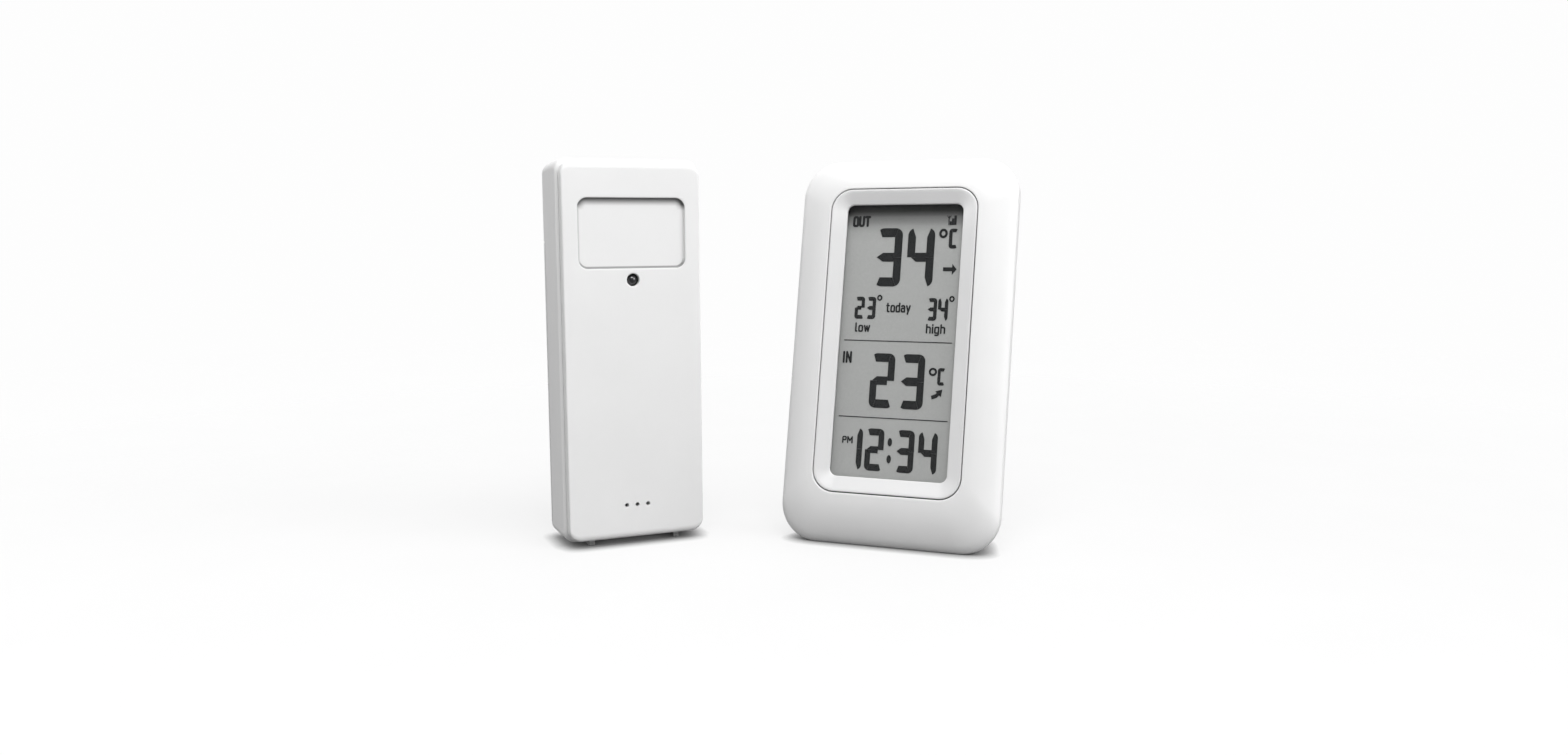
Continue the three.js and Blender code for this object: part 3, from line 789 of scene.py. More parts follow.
def digits(z0, z1, pen, *cells):
    """Characters (char, x0, x1) in a row; pen is (upright, level, gap)."""
    upright = pen[0]
    for char, x0, x1 in cells:
        size = (x1 - x0, z1 - z0, *pen)
        for name in STROKES[char]:
            if name == "G":
                shape = crossbar(char, *size)
            else:
                # free ends of the level strokes run further out than the joined ones
                ends = {"A": "FB", "D": "EC"}.get(name, "")
                free = [0.0 if end in STROKES[char] else 0.32 * upright for end in ends]
                shape = stroke(name, *size, *free)
            ink(shifted(shape, x0, z0))


def degree(x, z, radius_x, radius_z, thick, steps=28):
    """A degree ring, as short wedges side by side."""
    outer = ellipse(x, z, radius_x, radius_z, steps)
    inner = ellipse(x, z, radius_x - thick, radius_z - thick, steps)
    for i in range(steps):
        j = (i + 1) % steps
        ink([outer[i], outer[j], inner[j], inner[i]])


# top row: 34 degrees C, an arrow to the right, and a small mast with three bars above
SMALL_PEN = (0.94, 1.08, 0.025)
CLOCK_PEN = (1.58, 1.88, 0.035)
digits(71.35, 87.65, (2.2, 2.5, 0.045), ("3", -8.05, -0.62), ("4", 0.95, 8.52))
degree(10.8, 86.1, 1.2, 1.32, 0.68)
digits(81.95, 87.4, (0.92, 0.98, 0.03), ("C", 12.42, 14.98))
ink(rect(11.3, 13.85, 75.7, 76.75))
ink([(13.8, 74.65), (15.05, 76.22), (13.8, 77.7)])
BARS_Z = 88.45
for x0, x1, height in ((12.3, 12.9, 1.0), (12.93, 13.52, 1.8), (13.55, 14.22, 2.6)):
    ink(rect(x0, x1, BARS_Z, BARS_Z + height))
ink(rect(11.98, 12.22, BARS_Z, 91.0))
ink([(11.62, 91.1), (11.5, 90.95), (12.05, 90.2), (12.15, 90.32)])
ink([(12.05, 90.32), (12.15, 90.2), (12.72, 90.95), (12.58, 91.1)])
# low and high of the day
digits(62.15, 68.35, SMALL_PEN, ("2", -13.05, -10.25), ("3", -9.7, -7.03))
degree(-6.05, 68.12, 0.76, 0.84, 0.44, 22)
digits(62.05, 68.25, SMALL_PEN, ("3", 7.62, 10.3), ("4", 10.6, 13.38))
degree(14.3, 68.08, 0.76, 0.84, 0.44, 22)
# dividing line, then 23 degrees C and a bent arrow rising to the right
ink([(-15.5, 56.02), (15.05, 55.97), (15.05, 56.2), (-15.5, 56.25)])
digits(37.65, 52.7, (1.94, 2.34, 0.04), ("2", -7.2, -0.38), ("3", 1.25, 8.05))
degree(10.33, 48.1, 1.15, 1.13, 0.58)
digits(44.5, 49.2, (0.8, 0.88, 0.03), ("C", 11.7, 13.88))
ink([(10.2, 41.6), (10.45, 40.62), (11.8, 41.12), (11.4, 42.1)])
ink([(11.4, 42.1), (11.8, 41.12), (12.55, 41.95), (11.95, 42.6)])
ink([(11.35, 42.85), (12.95, 41.35), (13.25, 43.45)])
# dividing line, then the clock at 12:34
ink([(-15.55, 34.82), (15.2, 34.77), (15.2, 35.0), (-15.55, 35.05)])
digits(20.4, 31.85, CLOCK_PEN, ("1", -13.4, -8.15))
digits(20.4, 31.95, CLOCK_PEN, ("2", -7.3, -2.05))
for z in (23.83, 28.45):
    ink(ellipse(-0.39, z, 0.62, 1.13, 24))
digits(20.4, 31.95, CLOCK_PEN, ("3", 1.4, 6.5))
digits(20.4, 31.75, CLOCK_PEN, ("4", 7.65, 12.9))
part = new_object("readout_segments", ink_verts, ink_faces)
place(part, DISPLAY, "display_case", INK, "lcd", sharp=30, weighted=False)


def bend(points, radius, steps=4):
    """Polyline with its inner corners rounded."""
    out = [points[0]]
    for before, corner, after in zip(points, points[1:], points[2:]):
        corner = Vector(corner)
        back, ahead = Vector(before) - corner, Vector(after) - corner
        reach = min(radius, back.length * 0.49, ahead.length * 0.49)
        start = corner + back.normalized() * reach
        end = corner + ahead.normalized() * reach
        for i in range(steps + 1):
            u = i / steps
            out.append(tuple((1 - u) ** 2 * start + 2 * u * (1 - u) * corner + u * u * end))
    return out + [points[-1]]


def bowl(width, height, radius=0.17):
    loop = [(width / 2, 0), (width, 0), (width, height), (0, height), (0, 0), (width / 2, 0)]
    return bend(loop, radius)


LOW = 0.70  # height of small letters, against 1 for capitals
# letter: (width, pen strokes)
LETTERS = {
    "a": (0.44, [bend([(0.04, LOW - 0.06), (0.10, LOW), (0.44, LOW), (0.44, 0)], 0.16),
                 bend([(0.44, 0.40), (0, 0.40), (0, 0), (0.44, 0), (0.44, 0.14)], 0.16)]),
    "d": (0.44, [bowl(0.44, LOW), [(0.44, 0), (0.44, 1)]]),
    "g": (0.44, [bowl(0.44, LOW), bend([(0.44, LOW), (0.44, -0.28), (0.05, -0.28)], 0.17)]),
    "h": (0.44, [[(0, 0), (0, 1)], bend([(0, 0.45), (0, LOW), (0.44, LOW), (0.44, 0)], 0.18)]),
    "i": (0.0, [[(0, 0), (0, LOW)], [(0, 0.93), (0, 1.0)]]),
    "l": (0.14, [bend([(0, 1), (0, 0), (0.14, 0)], 0.13)]),
    "o": (0.46, [bowl(0.46, LOW)]),
    "t": (0.30, [bend([(0.09, 0.95), (0.09, 0), (0.30, 0)], 0.14), [(-0.03, LOW), (0.28, LOW)]]),
    "w": (0.66, [[(0, LOW), (0.16, 0), (0.33, LOW - 0.05), (0.50, 0), (0.66, LOW)]]),
    "y": (0.46, [[(0, LOW), (0.235, 0.02)], [(0.46, LOW), (0.14, -0.28)]]),
    "I": (0.0, [[(0, 0), (0, 1)]]),
    "M": (0.62, [[(0, 0), (0, 1), (0.31, 0.35), (0.62, 1), (0.62, 0)]]),
    "N": (0.48, [[(0, 0), (0, 1), (0.48, 0), (0.48, 1)]]),
    "O": (0.46, [bowl(0.46, 1, 0.2)]),
    "P": (0.44, [bend([(0, 0), (0, 1), (0.44, 1), (0.44, 0.46), (0, 0.46)], 0.16)]),
    "T": (0.46, [[(0, 1), (0.46, 1)], [(0.23, 1), (0.23, 0)]]),
    "U": (0.46, [bend([(0, 1), (0, 0), (0.46, 0), (0.46, 1)], 0.2)]),
}


def half_round(centre, radius, start):
    """Half a circle from an angle in radians."""
    angles = [start + math.pi * i / 6 for i in range(7)]
    return [(centre[0] + radius * math.cos(a), centre[1] + radius * math.sin(a)) for a in angles]


def word(text, x0, x1, z0, z1, thick, spacing=0.30):
    """A plain word of even strokes, fitted to a box on the glass."""
    paths, pen = [], 0.0
    for char in text:
        width, strokes = LETTERS[char]
        paths += [shifted(path, pen) for path in strokes]
        pen += width + spacing
    points = np.array([point for path in paths for point in path])
    low, high = points.min(0), points.max(0)
    scale_x = (x1 - x0 - thick) / (high[0] - low[0])
    scale_z = (z1 - z0 - thick) / (high[1] - low[1])
    verts, faces = [], []
    for path in paths:
        fitted = [(x0 + thick / 2 + (x - low[0]) * scale_x,
                   z0 + thick / 2 + (z - low[1]) * scale_z) for x, z in path]
        for start, end in zip(fitted, fitted[1:]):
            step = Vector(end) - Vector(start)
            if step.length < 1e-6:
                continue
            angle = math.atan2(step.y, step.x)
            head = half_round(end, thick / 2, angle - math.pi / 2)
            tail = half_round(start, thick / 2, angle + math.pi / 2)
            add_slab(verts, faces, head + tail)
    ob = new_object("readout_" + text.lower(), verts, faces)
    # a union with a block far to the left merges the overlapping slabs; the block then goes
    boolean(ob, [block(-500, -499, INK_Y0, INK_Y1, 0, 1)], "UNION", use_self=True)
    bm = bmesh.new()
    bm.from_mesh(ob.data)
    strays = [vert for vert in bm.verts if vert.co.x < -400]
    bmesh.ops.delete(bm, geom=strays, context="VERTS")
    bm.to_mesh(ob.data)
    bm.free()
    place(ob, DISPLAY, "display_case", INK, "lcd", sharp=30, weighted=False)


# text, x0, x1, z0, z1, stroke thickness[, letter spacing]
for entry in (
    ("OUT", -15.35, -10.15, 88.05, 91.2, 0.68, 0.26),
    ("IN", -15.55, -12.95, 49.7, 53.05, 0.58, 0.34),
    ("PM", -14.05, -11.0, 27.5, 29.5, 0.38, 0.26),
    ("today", -4.05, 2.95, 63.48, 66.9, 0.44),
    ("low", -12.6, -8.25, 58.5, 61.15, 0.44),
    ("high", 7.6, 13.0, 57.85, 61.15, 0.44),
):
    word(*entry)


# ---------------------------------------------------------------- display: rear cover
def cover_ring(y, inset, z0, radius, steps=14):
    """Section of the case; inset is from its sides and top."""
    return (y, rounded(CASE_HALF - inset, z0, CASE_H - inset, radius, steps))


# columns: y, inset, bottom z, corner radius
COVER_START = [(7.5, 1.15, 0.45, 10.0), (7.58, 0.98, 0.28, 10.1)]
COVER_CURVE = [
    (7.75, 0.92, 0.22, 10.2), (10, 1.7, 0.5, 10), (13, 2.8, 1, 9.6), (16, 4.1, 1.6, 9),
    (19, 5.8, 2.4, 8.4), (20.8, 7.4, 3.2, 8), (21.7, 8.8, 4.2, 7.4), (21.96, 9.9, 5.4, 7.0),
]
COVER_BACK = (BACK_Y, 10.6, 6.0, 6.8)
CAVITY = [(6.5, 2.4, 3.4, 9), (10, 3.4, 3.6, 8.6), (14, 4.9, 4.4, 8), (17.2, 6.4, 5.6, 7.4)]
CAVITY_TOP = [(16, 6.4, 76.8, 6), (20.4, 9.2, 76.8, 5)]
stations = COVER_START + spline(COVER_CURVE, 4) + [COVER_BACK]
part = loft([cover_ring(*station) for station in stations], "rear_cover_moulding")
cut(part, *[loft([cover_ring(*station, steps=12) for station in table])
            for table in (CAVITY, CAVITY_TOP)])
# screw posts and the walls of the battery bay
join(
    part,
    *[rod_y(x, z, 3.4, 10.4, 17.6) for x, z in SCREWS],
    prism(rounded(BAY_HALF + 1.2, BAY_Z0 - 1.2, BAY_Z1 + 1.2, 1.5, 5), BAY_Y - 1.1, 18),
)
# recess for the leg, with the island standing in it
cut(part, prism(rounded(LEG_HALF + 0.4, -20, AXIS_Z + LEG_T + 0.5, 1.6, 6), 19.0, PAST))
join(part, prism(rounded(ISLAND_HALF, ISLAND_Z0, ISLAND_Z1, 1.0, 5), 17, BACK_Y))
# bay, door recess and hinge bore
cut(
    part,
    prism(rounded(BAY_HALF, BAY_Z0, BAY_Z1, 0.8, 4), BAY_Y, PAST),
    prism(rounded(DOOR_HALF + DOOR_GAP, 0, DOOR_Z1 + DOOR_GAP, 0.9, 4), 20.5, PAST),
    rod_x(AXIS_Y, AXIS_Z, 1.35, -21.6, 21.6),
)
# screw holes and head recesses, button holes, and a row of five slots above the buttons
cut(
    part,
    *[rod_y(x, z, 1.3, 9, PAST) for x, z in SCREWS],
    *[rod_y(x, z, 2.3, 12, PAST) for x, z in SCREWS],
    *[rod_y(x, BUTTON_Z, BUTTON_R + 0.3, 17, PAST, 56) for x in BUTTONS.values()],
    *[prism(shifted(rounded(0.7, 90.6, 95.4, 0.68, 6), i * 4), 18, PAST) for i in range(-2, 3)],
)
cut(part, foot_cut())
bevel(part, 0.22, segments=2, angle=38)
place(part, DISPLAY, "display_case", WHITE, "white_shell", "rear_cover")

# battery door: eased plate with a finger dip and three grip grooves
part = prism(rounded(DOOR_HALF, 12.6, DOOR_Z1, 0.8, 6), 20.8, BACK_Y, "battery_door_moulding")
cut(part, rod_x(BACK_Y + 2.5, 61.5, 3.2, -5, 5, 64))
groove = rounded(4.2, -0.35, 0.35, 0.34, 6)
cut(part, *[prism(shifted(groove, dz=54.2 - 1.9 * i), BACK_Y - 0.3, PAST) for i in range(3)])
bevel(part, 0.22, segments=3, angle=40)
place(part, DISPLAY, "display_door", WHITE, "white_shell", "battery_door")

# rear leg: open frame with a rounded top, cut level at the table, and two stub pins
part = prism(rounded(LEG_HALF, -72, 0, 2.2, 8), -LEG_T, LEG_T, "leg_moulding")
join(part, rod_x(0, 0, LEG_T, -LEG_HALF, LEG_HALF))
opening = rounded(ISLAND_HALF + 0.5, ISLAND_Z0 - 1.3 - AXIS_Z, ISLAND_Z1 + 0.4 - AXIS_Z, 1.6, 8)
cut(part, prism(opening, -5, 5))
below = block(-40, 40, -30, 30, -30, 0)
drop = Matrix.Translation((0, 0, -AXIS_HEIGHT / math.cos(LEG_ANGLE)))
below.data.transform(drop @ Matrix.Rotation(-LEG_ANGLE, 4, "X"))
cut(part, below)
bevel(part, 0.45, segments=3, angle=40)
join(part, rod_x(0, 0, 1.0, -LEG_HALF - 1.3, LEG_HALF + 1.3, 32))
place(part, LEG, "leg", WHITE, "white_shell", "stand_leg")

# rear buttons: stems with slightly dished caps, as (radius, y)
BUTTON_PROFILE = [
    (0, 12.2), (1.2, 12.2), (1.4, 12.4), (1.4, 18.2), (BUTTON_R, 18.2),
    (BUTTON_R - 0.04, 20.0), (BUTTON_R - 0.1, BACK_Y + 0.05),
    *arc(BUTTON_R - 0.5, BACK_Y + 0.2, 0.4, 0, 90),
    (2.2, BACK_Y + 0.55), (1.6, BACK_Y + 0.46), (0.8, BACK_Y + 0.40), (0, BACK_Y + 0.38),
]
for label, x in BUTTONS.items():
    node = "button_" + label
    part = lathe(BUTTON_PROFILE, node + "_cap", axis="y", at=(x, 0, BUTTON_Z))
    place(part, DISPLAY, label + "_button", BUTTON, "button_grey", node, sharp=45)

for i in range(1, 5):
    finish_node(f"case_screw_{i}", STEEL)
for i in range(1, 4):
    finish_node(f"tact_switch_{i}", DARK, ease=0.1)
finish_node("indoor_thermistor", DARK, sharp=60)


# ---------------------------------------------------------------- cells, springs, antennas
def coil(name, replaces, radii, heights, turns, wire, centre, frame, body, material, slot):
    """Upright wire helix; radii and heights are (start, end), wire is the wire's radius."""
    curve = bpy.data.curves.new(name, "CURVE")
    curve.dimensions = "3D"
    line = curve.splines.new("POLY")
    count = int(turns * 28) + 1
    line.points.add(count - 1)
    for i in range(count):
        share = i / (count - 1)
        angle = 2 * math.pi * turns * share
        radius = radii[0] + (radii[1] - radii[0]) * share
        x = centre[0] + radius * math.cos(angle)
        y = centre[1] + radius * math.sin(angle)
        line.points[i].co = (x, y, heights[0] + (heights[1] - heights[0]) * share, 1)
    curve.bevel_depth = wire
    curve.bevel_resolution = 3
    curve.use_fill_caps = True
    temporary = add_object("tmp_coil", curve)
    bpy.context.view_layer.update()
    graph = bpy.context.evaluated_depsgraph_get()
    mesh = bpy.data.meshes.new_from_object(temporary.evaluated_get(graph))
    bpy.data.objects.remove(temporary)
    part = tidy(add_object(name, mesh), 1e-5)
    place(part, frame, body, material, slot, replaces, sharp=60, weighted=False)


def fill_bay(prefix, frame, body, radius, length, nub, tip, x, y, z, z0, z1):
    """Two cells side by side at -x (nub up) and x (nub down), springs and contacts.

    nub and tip are the height and radius of the raised end; z is the foot of the cells,
    z0 and z1 the ends of the bay.
    """
    profile = [
        (0, 0), (radius * 0.70, 0), (radius * 0.74, 0.1), (radius * 0.76, 0.3),
        (radius - 0.45, 0.3),
        *arc(radius - 0.35, 0.65, 0.35, -60, 0, 4),
        *arc(radius - 0.5, length - 0.5, 0.5, 0, 90),
        (tip + 0.5, length), (tip + 0.15, length + 0.05), (tip, length + 0.25),
        *arc(tip - 0.25, length + nub - 0.25, 0.25, 0, 90, 4),
        (0, length + nub),
    ]
    top = z + length + nub
    wide, narrow = radius * 0.62, radius * 0.36
    springs = (
        dict(radii=(wide, narrow), heights=(z0 + 0.95, z - 0.45)),
        dict(radii=(narrow, wide), heights=(top + 0.45, z1 - 0.95)),
    )
    for i, side in ((1, -1), (2, 1)):
        up = side < 0
        part = lathe(profile, f"{prefix}cell_sleeve_{i}", steps=72,
                     at=(side * x, y, z if up else top), flip=not up)
        material = cell_print(f"{prefix}cell_print_{i}", frame, z, top, up)
        place(part, frame, body, material, "cell_wrap", f"{prefix}cell_{i}", sharp=40)
        coil(f"{prefix}spring_wire_{i}", f"{prefix}spring_{i}", **springs[i - 1], turns=3,
             wire=0.28, centre=(side * x, y), frame=frame, body=body, material=STEEL, slot="steel")
    for end in ("minus", "plus", "bridge"):
        finish_node(f"{prefix}contact_{end}", STEEL)


fill_bay("display_", DISPLAY, "display_case", radius=5.2, length=43.3, nub=1.0, tip=1.9,
         x=5.6, y=15.1, z=17.85, z0=BAY_Z0, z1=BAY_Z1)
fill_bay("sensor_", SENSOR, "sensor_case", radius=7.1, length=49.2, nub=1.3, tip=2.7,
         x=7.8, y=10.3, z=15.6, z0=12.6, z1=68.0)
ANTENNA = dict(turns=7, wire=0.33, material=COPPER, slot="copper_wire")
coil("receiver_antenna_winding", "receiver_antenna", radii=(2.0, 2.0), heights=(80, 96),
     centre=(-16.5, 11.2), frame=DISPLAY, body="display_case", **ANTENNA)
coil("sensor_antenna_winding", "sensor_antenna", radii=(2.1, 2.1), heights=(73, 92),
     centre=(12, 10), frame=SENSOR, body="sensor_case", **ANTENNA)


# ---------------------------------------------------------------- outdoor sensor
def sensor_ring(y, side, top, bottom, radius):
    """Section of the sensor, grown by so much at its sides, top and bottom."""
    half = SENSOR_HALF + side
    return (y, rounded(half, SENSOR_Z0 - bottom, SENSOR_Z1 + top, radius))


def panel(grow):
    return rounded(PANEL_HALF + grow, PANEL_Z0 - grow, PANEL_Z1 + grow, PANEL_R + grow)


# front cover: one skin from the inside, round the rim, over the face, into the label recess
# columns of both tables: y, growth at sides, top and bottom, corner radius
COVER_RIM = [(2.6, -0.12, -0.12, -0.12, 3.3), (2.56, -0.04, -0.04, -0.04, 3.36), (2.46, 0, 0, 0, 3.4)]
COVER_FACE = [
    (1.25, 0.0, 0.0, 0.0, 3.4), (0.9, 0.0, -0.06, -0.06, 3.4), (0.42, -0.04, -0.42, -0.42, 3.15),
    (0.12, -0.18, -1.05, -1.05, 2.75), (0.0, -0.46, -1.85, -1.85, 2.4),
]
rings = [
    (1.5, rounded(17.43, 3.6, 102.0, 2.0)),
    (2.52, rounded(17.43, 3.6, 102.0, 2.0)),
    (2.6, rounded(17.53, 3.5, 102.1, 2.1)),
]
rings += [sensor_ring(*station) for station in COVER_RIM + spline(COVER_FACE, 5)]
rings += [(y, panel(grow)) for y, grow in ((0.0, 0.42), (0.03, 0.2), (0.12, 0.05), (0.25, 0))]
FILLET = 0.45  # round the floor of the recess
for k in range(6):
    angle = math.radians(90 * k / 5)
    y = PANEL_DEPTH - FILLET + FILLET * math.sin(angle)
    rings.append((y, panel(-FILLET * (1 - math.cos(angle)))))
part = loft(rings, "sensor_front_moulding")
# the indicator hole and three small holes near the bottom, all with eased mouths
LED_HOLE = [
    (0, -1), (LED_R + 0.55, -1), (LED_R + 0.55, 0.0), (LED_R + 0.34, 0.05),
    (LED_R + 0.24, 0.15), (LED_R + 0.2, 0.32), (LED_R + 0.2, 4), (0, 4),
]
SMALL_HOLE = [(0, -1), (0.66, -1), (0.66, 0.0), (0.58, 0.04), (0.55, 0.12), (0.55, 4), (0, 4)]
cut(
    part,
    lathe(LED_HOLE, axis="y", at=(0, 0, LED_Z)),
    *[lathe(SMALL_HOLE, axis="y", steps=32, at=(k * 3.0, 0, 11.1)) for k in (-1, 0, 1)],
)
place(part, SENSOR, "sensor_case", WHITE_COVER, "white_shell", "sensor_front_cover", sharp=32)

# locating lip, then the shell behind the groove: chamfer, straight sides, tight rear corner
# columns: y, growth at sides, top and bottom, corner radius
SHELL_LIP = [
    (2.25, -2.0, -2.0, -2.0, 1.7), (2.35, -1.9, -1.9, -1.9, 1.8), (3.02, -1.9, -1.9, -1.9, 1.8),
    (3.02, -0.08, -0.08, -0.08, 3.3), (3.04, 0.0, 0.0, 0.0, 3.36), (3.1, 0.07, 0.08, 0.07, 3.4),
    (3.48, 0.33, 0.42, 0.31, 3.28), (3.86, 0.58, 0.75, 0.54, 3.14), (4.0, 0.635, 0.83, 0.59, 3.1),
]
SHELL_SIDES = [
    (4.3, 0.66, 0.86, 0.61, 3.05), (7.5, 0.65, 0.8, 0.6, 2.9), (12, 0.65, 0.55, 0.55, 2.7),
    (16, 0.65, 0.3, 0.5, 2.6), (18.5, 0.63, 0.05, 0.44, 2.6), (19.4, 0.44, -0.2, 0.22, 2.5),
    (20.0, -0.02, -0.72, -0.3, 2.35), (20.28, -0.6, -1.35, -0.9, 2.2),
]
SHELL_BACK = (SENSOR_BACK, -1.3, -2.05, -1.6, 1.9)


def sensor_body(name):
    table = SHELL_LIP + spline(SHELL_SIDES, 4) + [SHELL_BACK]
    return loft([sensor_ring(*station) for station in table], name)


def door_block(grow):
    """The part of the sensor body that belongs to its door."""
    return block(-30, 30, SENSOR_DOOR_Y - grow, 40, SENSOR_DOOR_Z0 - grow, SENSOR_DOOR_Z1 + grow)


part = sensor_body("sensor_rear_moulding")
cut(part, door_block(0.15))
# two feet
join(part, *[prism(shifted(rounded(0.8, 0, 3.6, 0.15, 3), x), 3.6, 15.5) for x in (-12, 12)])
# upper cavity, lower cavity, battery bay and a shallow front step
cut(
    part,
    prism(rounded(16.2, 69.2, 101.0, 2, 6), 1, 15.8),
    prism(rounded(16.2, 4.4, 11.4, 1.5, 6), 1, 15.2),
    prism(rounded(17.0, 12.6, 68.0, 1.2, 6), 3.0, PAST),
    block(-17.4, 17.4, 1, 2.6, 11, 70),
)
join(part, *[rod_y(x, z, 2.95, 9.4, 16.5) for x, z in SENSOR_SCREWS])
cut(
    part,
    *[rod_y(x, z, 1.3, 8, PAST) for x, z in SENSOR_SCREWS],
    *[rod_y(x, z, 2.2, 11, PAST, 48) for x, z in SENSOR_SCREWS],
)
bevel(part, 0.2, segments=2, angle=40)
place(part, SENSOR, "sensor_case", WHITE_SHELL, "white_shell", "sensor_rear_shell")

# battery door, hollow inside, with four grip grooves
part = sensor_body("sensor_door_moulding")
boolean(part, [door_block(-0.15)], "INTERSECT")
cut(part, prism(rounded(16.6, 8, 77.5, 2, 6), 10, 18.8))
groove = rounded(6.0, -0.4, 0.4, 0.38, 6)
cut(part, *[prism(shifted(groove, dz=74.5 - 2.0 * i), SENSOR_BACK - 0.35, PAST) for i in range(4)])
bevel(part, 0.2, segments=2, angle=40)
place(part, SENSOR, "sensor_door", WHITE, "white_shell", "sensor_battery_door")

# indicator: flanged epoxy body with a domed front
turns = [math.radians(angle) for angle in range(0, 90, 10)]
profile = [(0, 4.9), (1.9, 4.9), (1.9, 4.1), (LED_R, 4.1), (LED_R, 1.75)]
profile += [(LED_R * math.cos(a), 1.7 - LED_R * math.sin(a)) for a in turns] + [(0, 0.2)]
part = lathe(profile, "indicator_dome", axis="y", steps=48, at=(0, 0, LED_Z))
place(part, SENSOR, "sensor_case", LED, "led_lens", "sensor_indicator", sharp=50)

finish_node("sensor_board", BOARD, sharp=30, ease=0.1)
finish_node("sensor_transmitter", DARK, sharp=30, ease=0.3)
finish_node("sensor_thermistor", DARK, sharp=60)
for i in (1, 2):
    finish_node(f"sensor_screw_{i}", STEEL)


# ---------------------------------------------------------------- stage, in metres
def floor_paper():
    """Bright sweep for the camera, fading out with distance; it throws back little light."""
    graph = material_graph("floor_paper")
    paper = graph.ramp(graph.noise(scale=30), [(0.3, grey(0.187)), (0.7, grey(0.193))])
    camera_ray = graph.add("LightPath").outputs["Is Camera Ray"]
    base = graph.mix_color(camera_ray, grey(0.20), paper)
    # painted contact shadow: the glow dims close to the units
    near = graph.occlusion(samples=6, distance=0.0042)
    painted_contact_shade = graph.calc("POWER", near, 1.5)
    seen = graph.remap(camera_ray, old=(0, 1), new=(0, 0.715))
    glow = graph.calc("MULTIPLY", painted_contact_shade, seen)
    length = graph.add("VectorMath")
    length.operation = "LENGTH"
    graph.feed(length.inputs[0], graph.where)
    distance = length.outputs["Value"]
    brighter = graph.remap(distance, old=(0.12, 0.45), new=(1.0, 1.08))
    glow = graph.calc("MULTIPLY", glow, brighter)
    fade = graph.remap(distance, old=(0.2, 0.7), new=(1.0, 0.0))
    unseen = graph.remap(camera_ray, old=(0, 1), new=(1, 0))
    return graph.surface(
        Base_Color=base,
        Emission_Color=grey(1),
        Emission_Strength=glow,
        Roughness=0.8,
        Specular_IOR_Level=0.15,
        Alpha=graph.calc("MAXIMUM", fade, unseen),
    )


def floor():
    """Disc of 96 sectors in six rings."""
    n = 96
    radii = [0.1, 0.2, 0.35, 0.6, 1.0, 1.8]
    verts = [(0, 0, 0)]
    for radius in radii:
        verts += [(x, y, 0) for x, y in ellipse(0, 0, radius, radius, n)]
    faces = [(0, 1 + i, 1 + (i + 1) % n) for i in range(n)]
    for k in range(len(radii) - 1):
        for i in range(n):
            a, b = 1 + k * n + i, 1 + k * n + (i + 1) % n
            faces.append((a, a + n, b + n, b))
    ob = new_object("floor", verts, faces)
    ob.data.materials.append(floor_paper())


def direction(azimuth, elevation):
    """Unit vector from angles in radians."""
    level = math.cos(elevation)
    return (level * math.cos(azimuth), level * math.sin(azimuth), math.sin(elevation))


# soft boxes as broad lobes of light: azimuth, elevation (degrees), narrowness, brightness
BOXES = [
    (0, 20, 20, 5.89), (-160, 5, 20, 3.95), (-120, 5, 20, 1.08), (-20, 50, 20, 1.4),
    (0, 35, 20, 0.72), (-80, 50, 20, 0.54), (90, 45, 4, 0.9), (150, 30, 8, 0.55),
]
AMBIENT = 0.20  # even light from all round
BACKDROP = 0.985  # grey level the camera sees


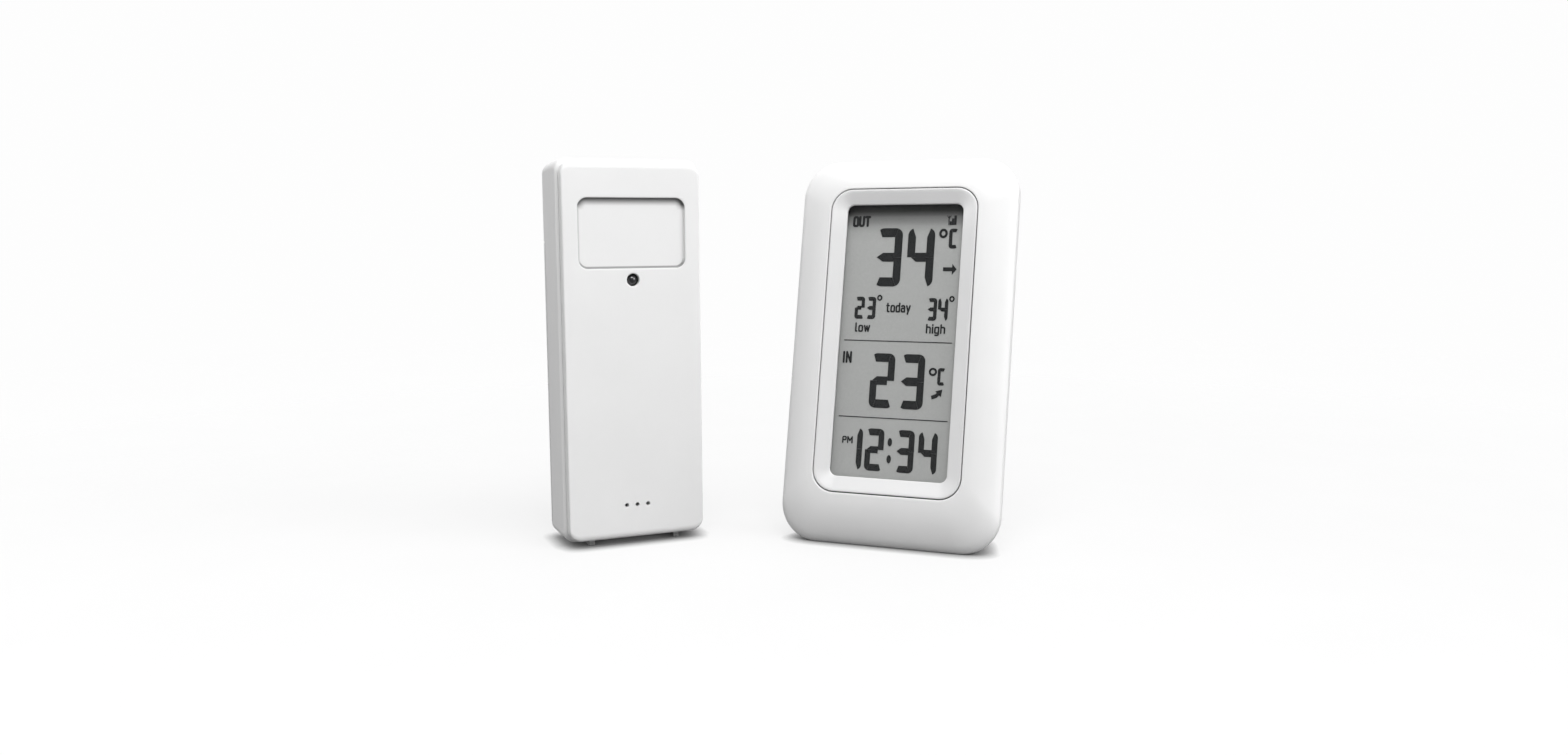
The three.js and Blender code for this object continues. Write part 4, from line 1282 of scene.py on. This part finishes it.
def studio():
    world = bpy.data.worlds.new("studio")
    bpy.context.scene.world = world
    graph = Graph(world, "Generated")
    total = graph.add("Value").outputs[0]
    total.default_value = AMBIENT
    for azimuth, elevation, narrowness, brightness in BOXES:
        toward = graph.dot(direction(math.radians(azimuth), math.radians(elevation)))
        toward = graph.remap(toward, old=(0, 1), new=(0, 1))
        lobe = graph.calc("POWER", toward, narrowness)
        total = graph.calc("MULTIPLY_ADD", lobe, brightness, total)
    light = graph.nodes["Background"]
    colour = graph.add("CombineColor", Red=total, Green=total, Blue=total).outputs[0]
    graph.feed_named(light, {"Color": colour, "Strength": 1.0})
    backdrop = graph.add("Background", Color=grey(BACKDROP))
    camera_ray = graph.add("LightPath").outputs["Is Camera Ray"]
    mixed = graph.mix_shader(camera_ray, light.outputs[0], backdrop.outputs[0])
    graph.feed(graph.nodes["World Output"].inputs["Surface"], mixed)


KEY_AZIMUTH, KEY_ELEVATION = math.radians(-60), math.radians(62)
KEY_DISTANCE, KEY_SIZE = 0.45, 0.28
KEY_STRENGTH = 2.244  # energy is this times pi times the distance squared
KEY_TARGET = (-0.035, -0.02, 0.052)


def key_light():
    light = bpy.data.lights.new("key", "AREA")
    light.shape = "DISK"
    light.size = KEY_SIZE
    light.energy = KEY_STRENGTH * math.pi * KEY_DISTANCE ** 2
    ob = add_object("key", light)
    aim = Vector(direction(KEY_AZIMUTH, KEY_ELEVATION))
    turn = aim.to_track_quat("Z", "Y").to_matrix().to_4x4()
    ob.matrix_world = Matrix.Translation(Vector(KEY_TARGET) + aim * KEY_DISTANCE) @ turn
    ob.visible_camera = False


CAMERA_AT = (0.09336995, -0.3079997, 0.08431273)
CAMERA_FORWARD = (-0.36810042, 0.92232866, -0.11752413)
CAMERA_ROLL = math.radians(-0.30565)
SENSOR_WIDTH, FOCAL_LENGTH = 36.0, 27.798842  # mm


def camera():
    data = bpy.data.cameras.new("camera")
    data.sensor_width = SENSOR_WIDTH
    data.sensor_fit = "HORIZONTAL"
    data.lens = FOCAL_LENGTH
    data.clip_start = 0.01
    data.clip_end = 10
    ob = add_object("camera", data)
    forward = Vector(CAMERA_FORWARD).normalized()
    level = forward.cross(Vector((0, 0, 1))).normalized()
    upright = level.cross(forward)
    right = math.cos(CAMERA_ROLL) * level + math.sin(CAMERA_ROLL) * upright
    up = -math.sin(CAMERA_ROLL) * level + math.cos(CAMERA_ROLL) * upright
    turn = Matrix((right, up, -forward)).transposed().to_4x4()
    ob.matrix_world = Matrix.Translation(CAMERA_AT) @ turn
    bpy.context.scene.camera = ob


floor()
studio()
key_light()
camera()

view = bpy.context.scene.view_settings
view.view_transform = "Standard"
view.look = "None"
view.exposure = 0.0
view.gamma = 1.0
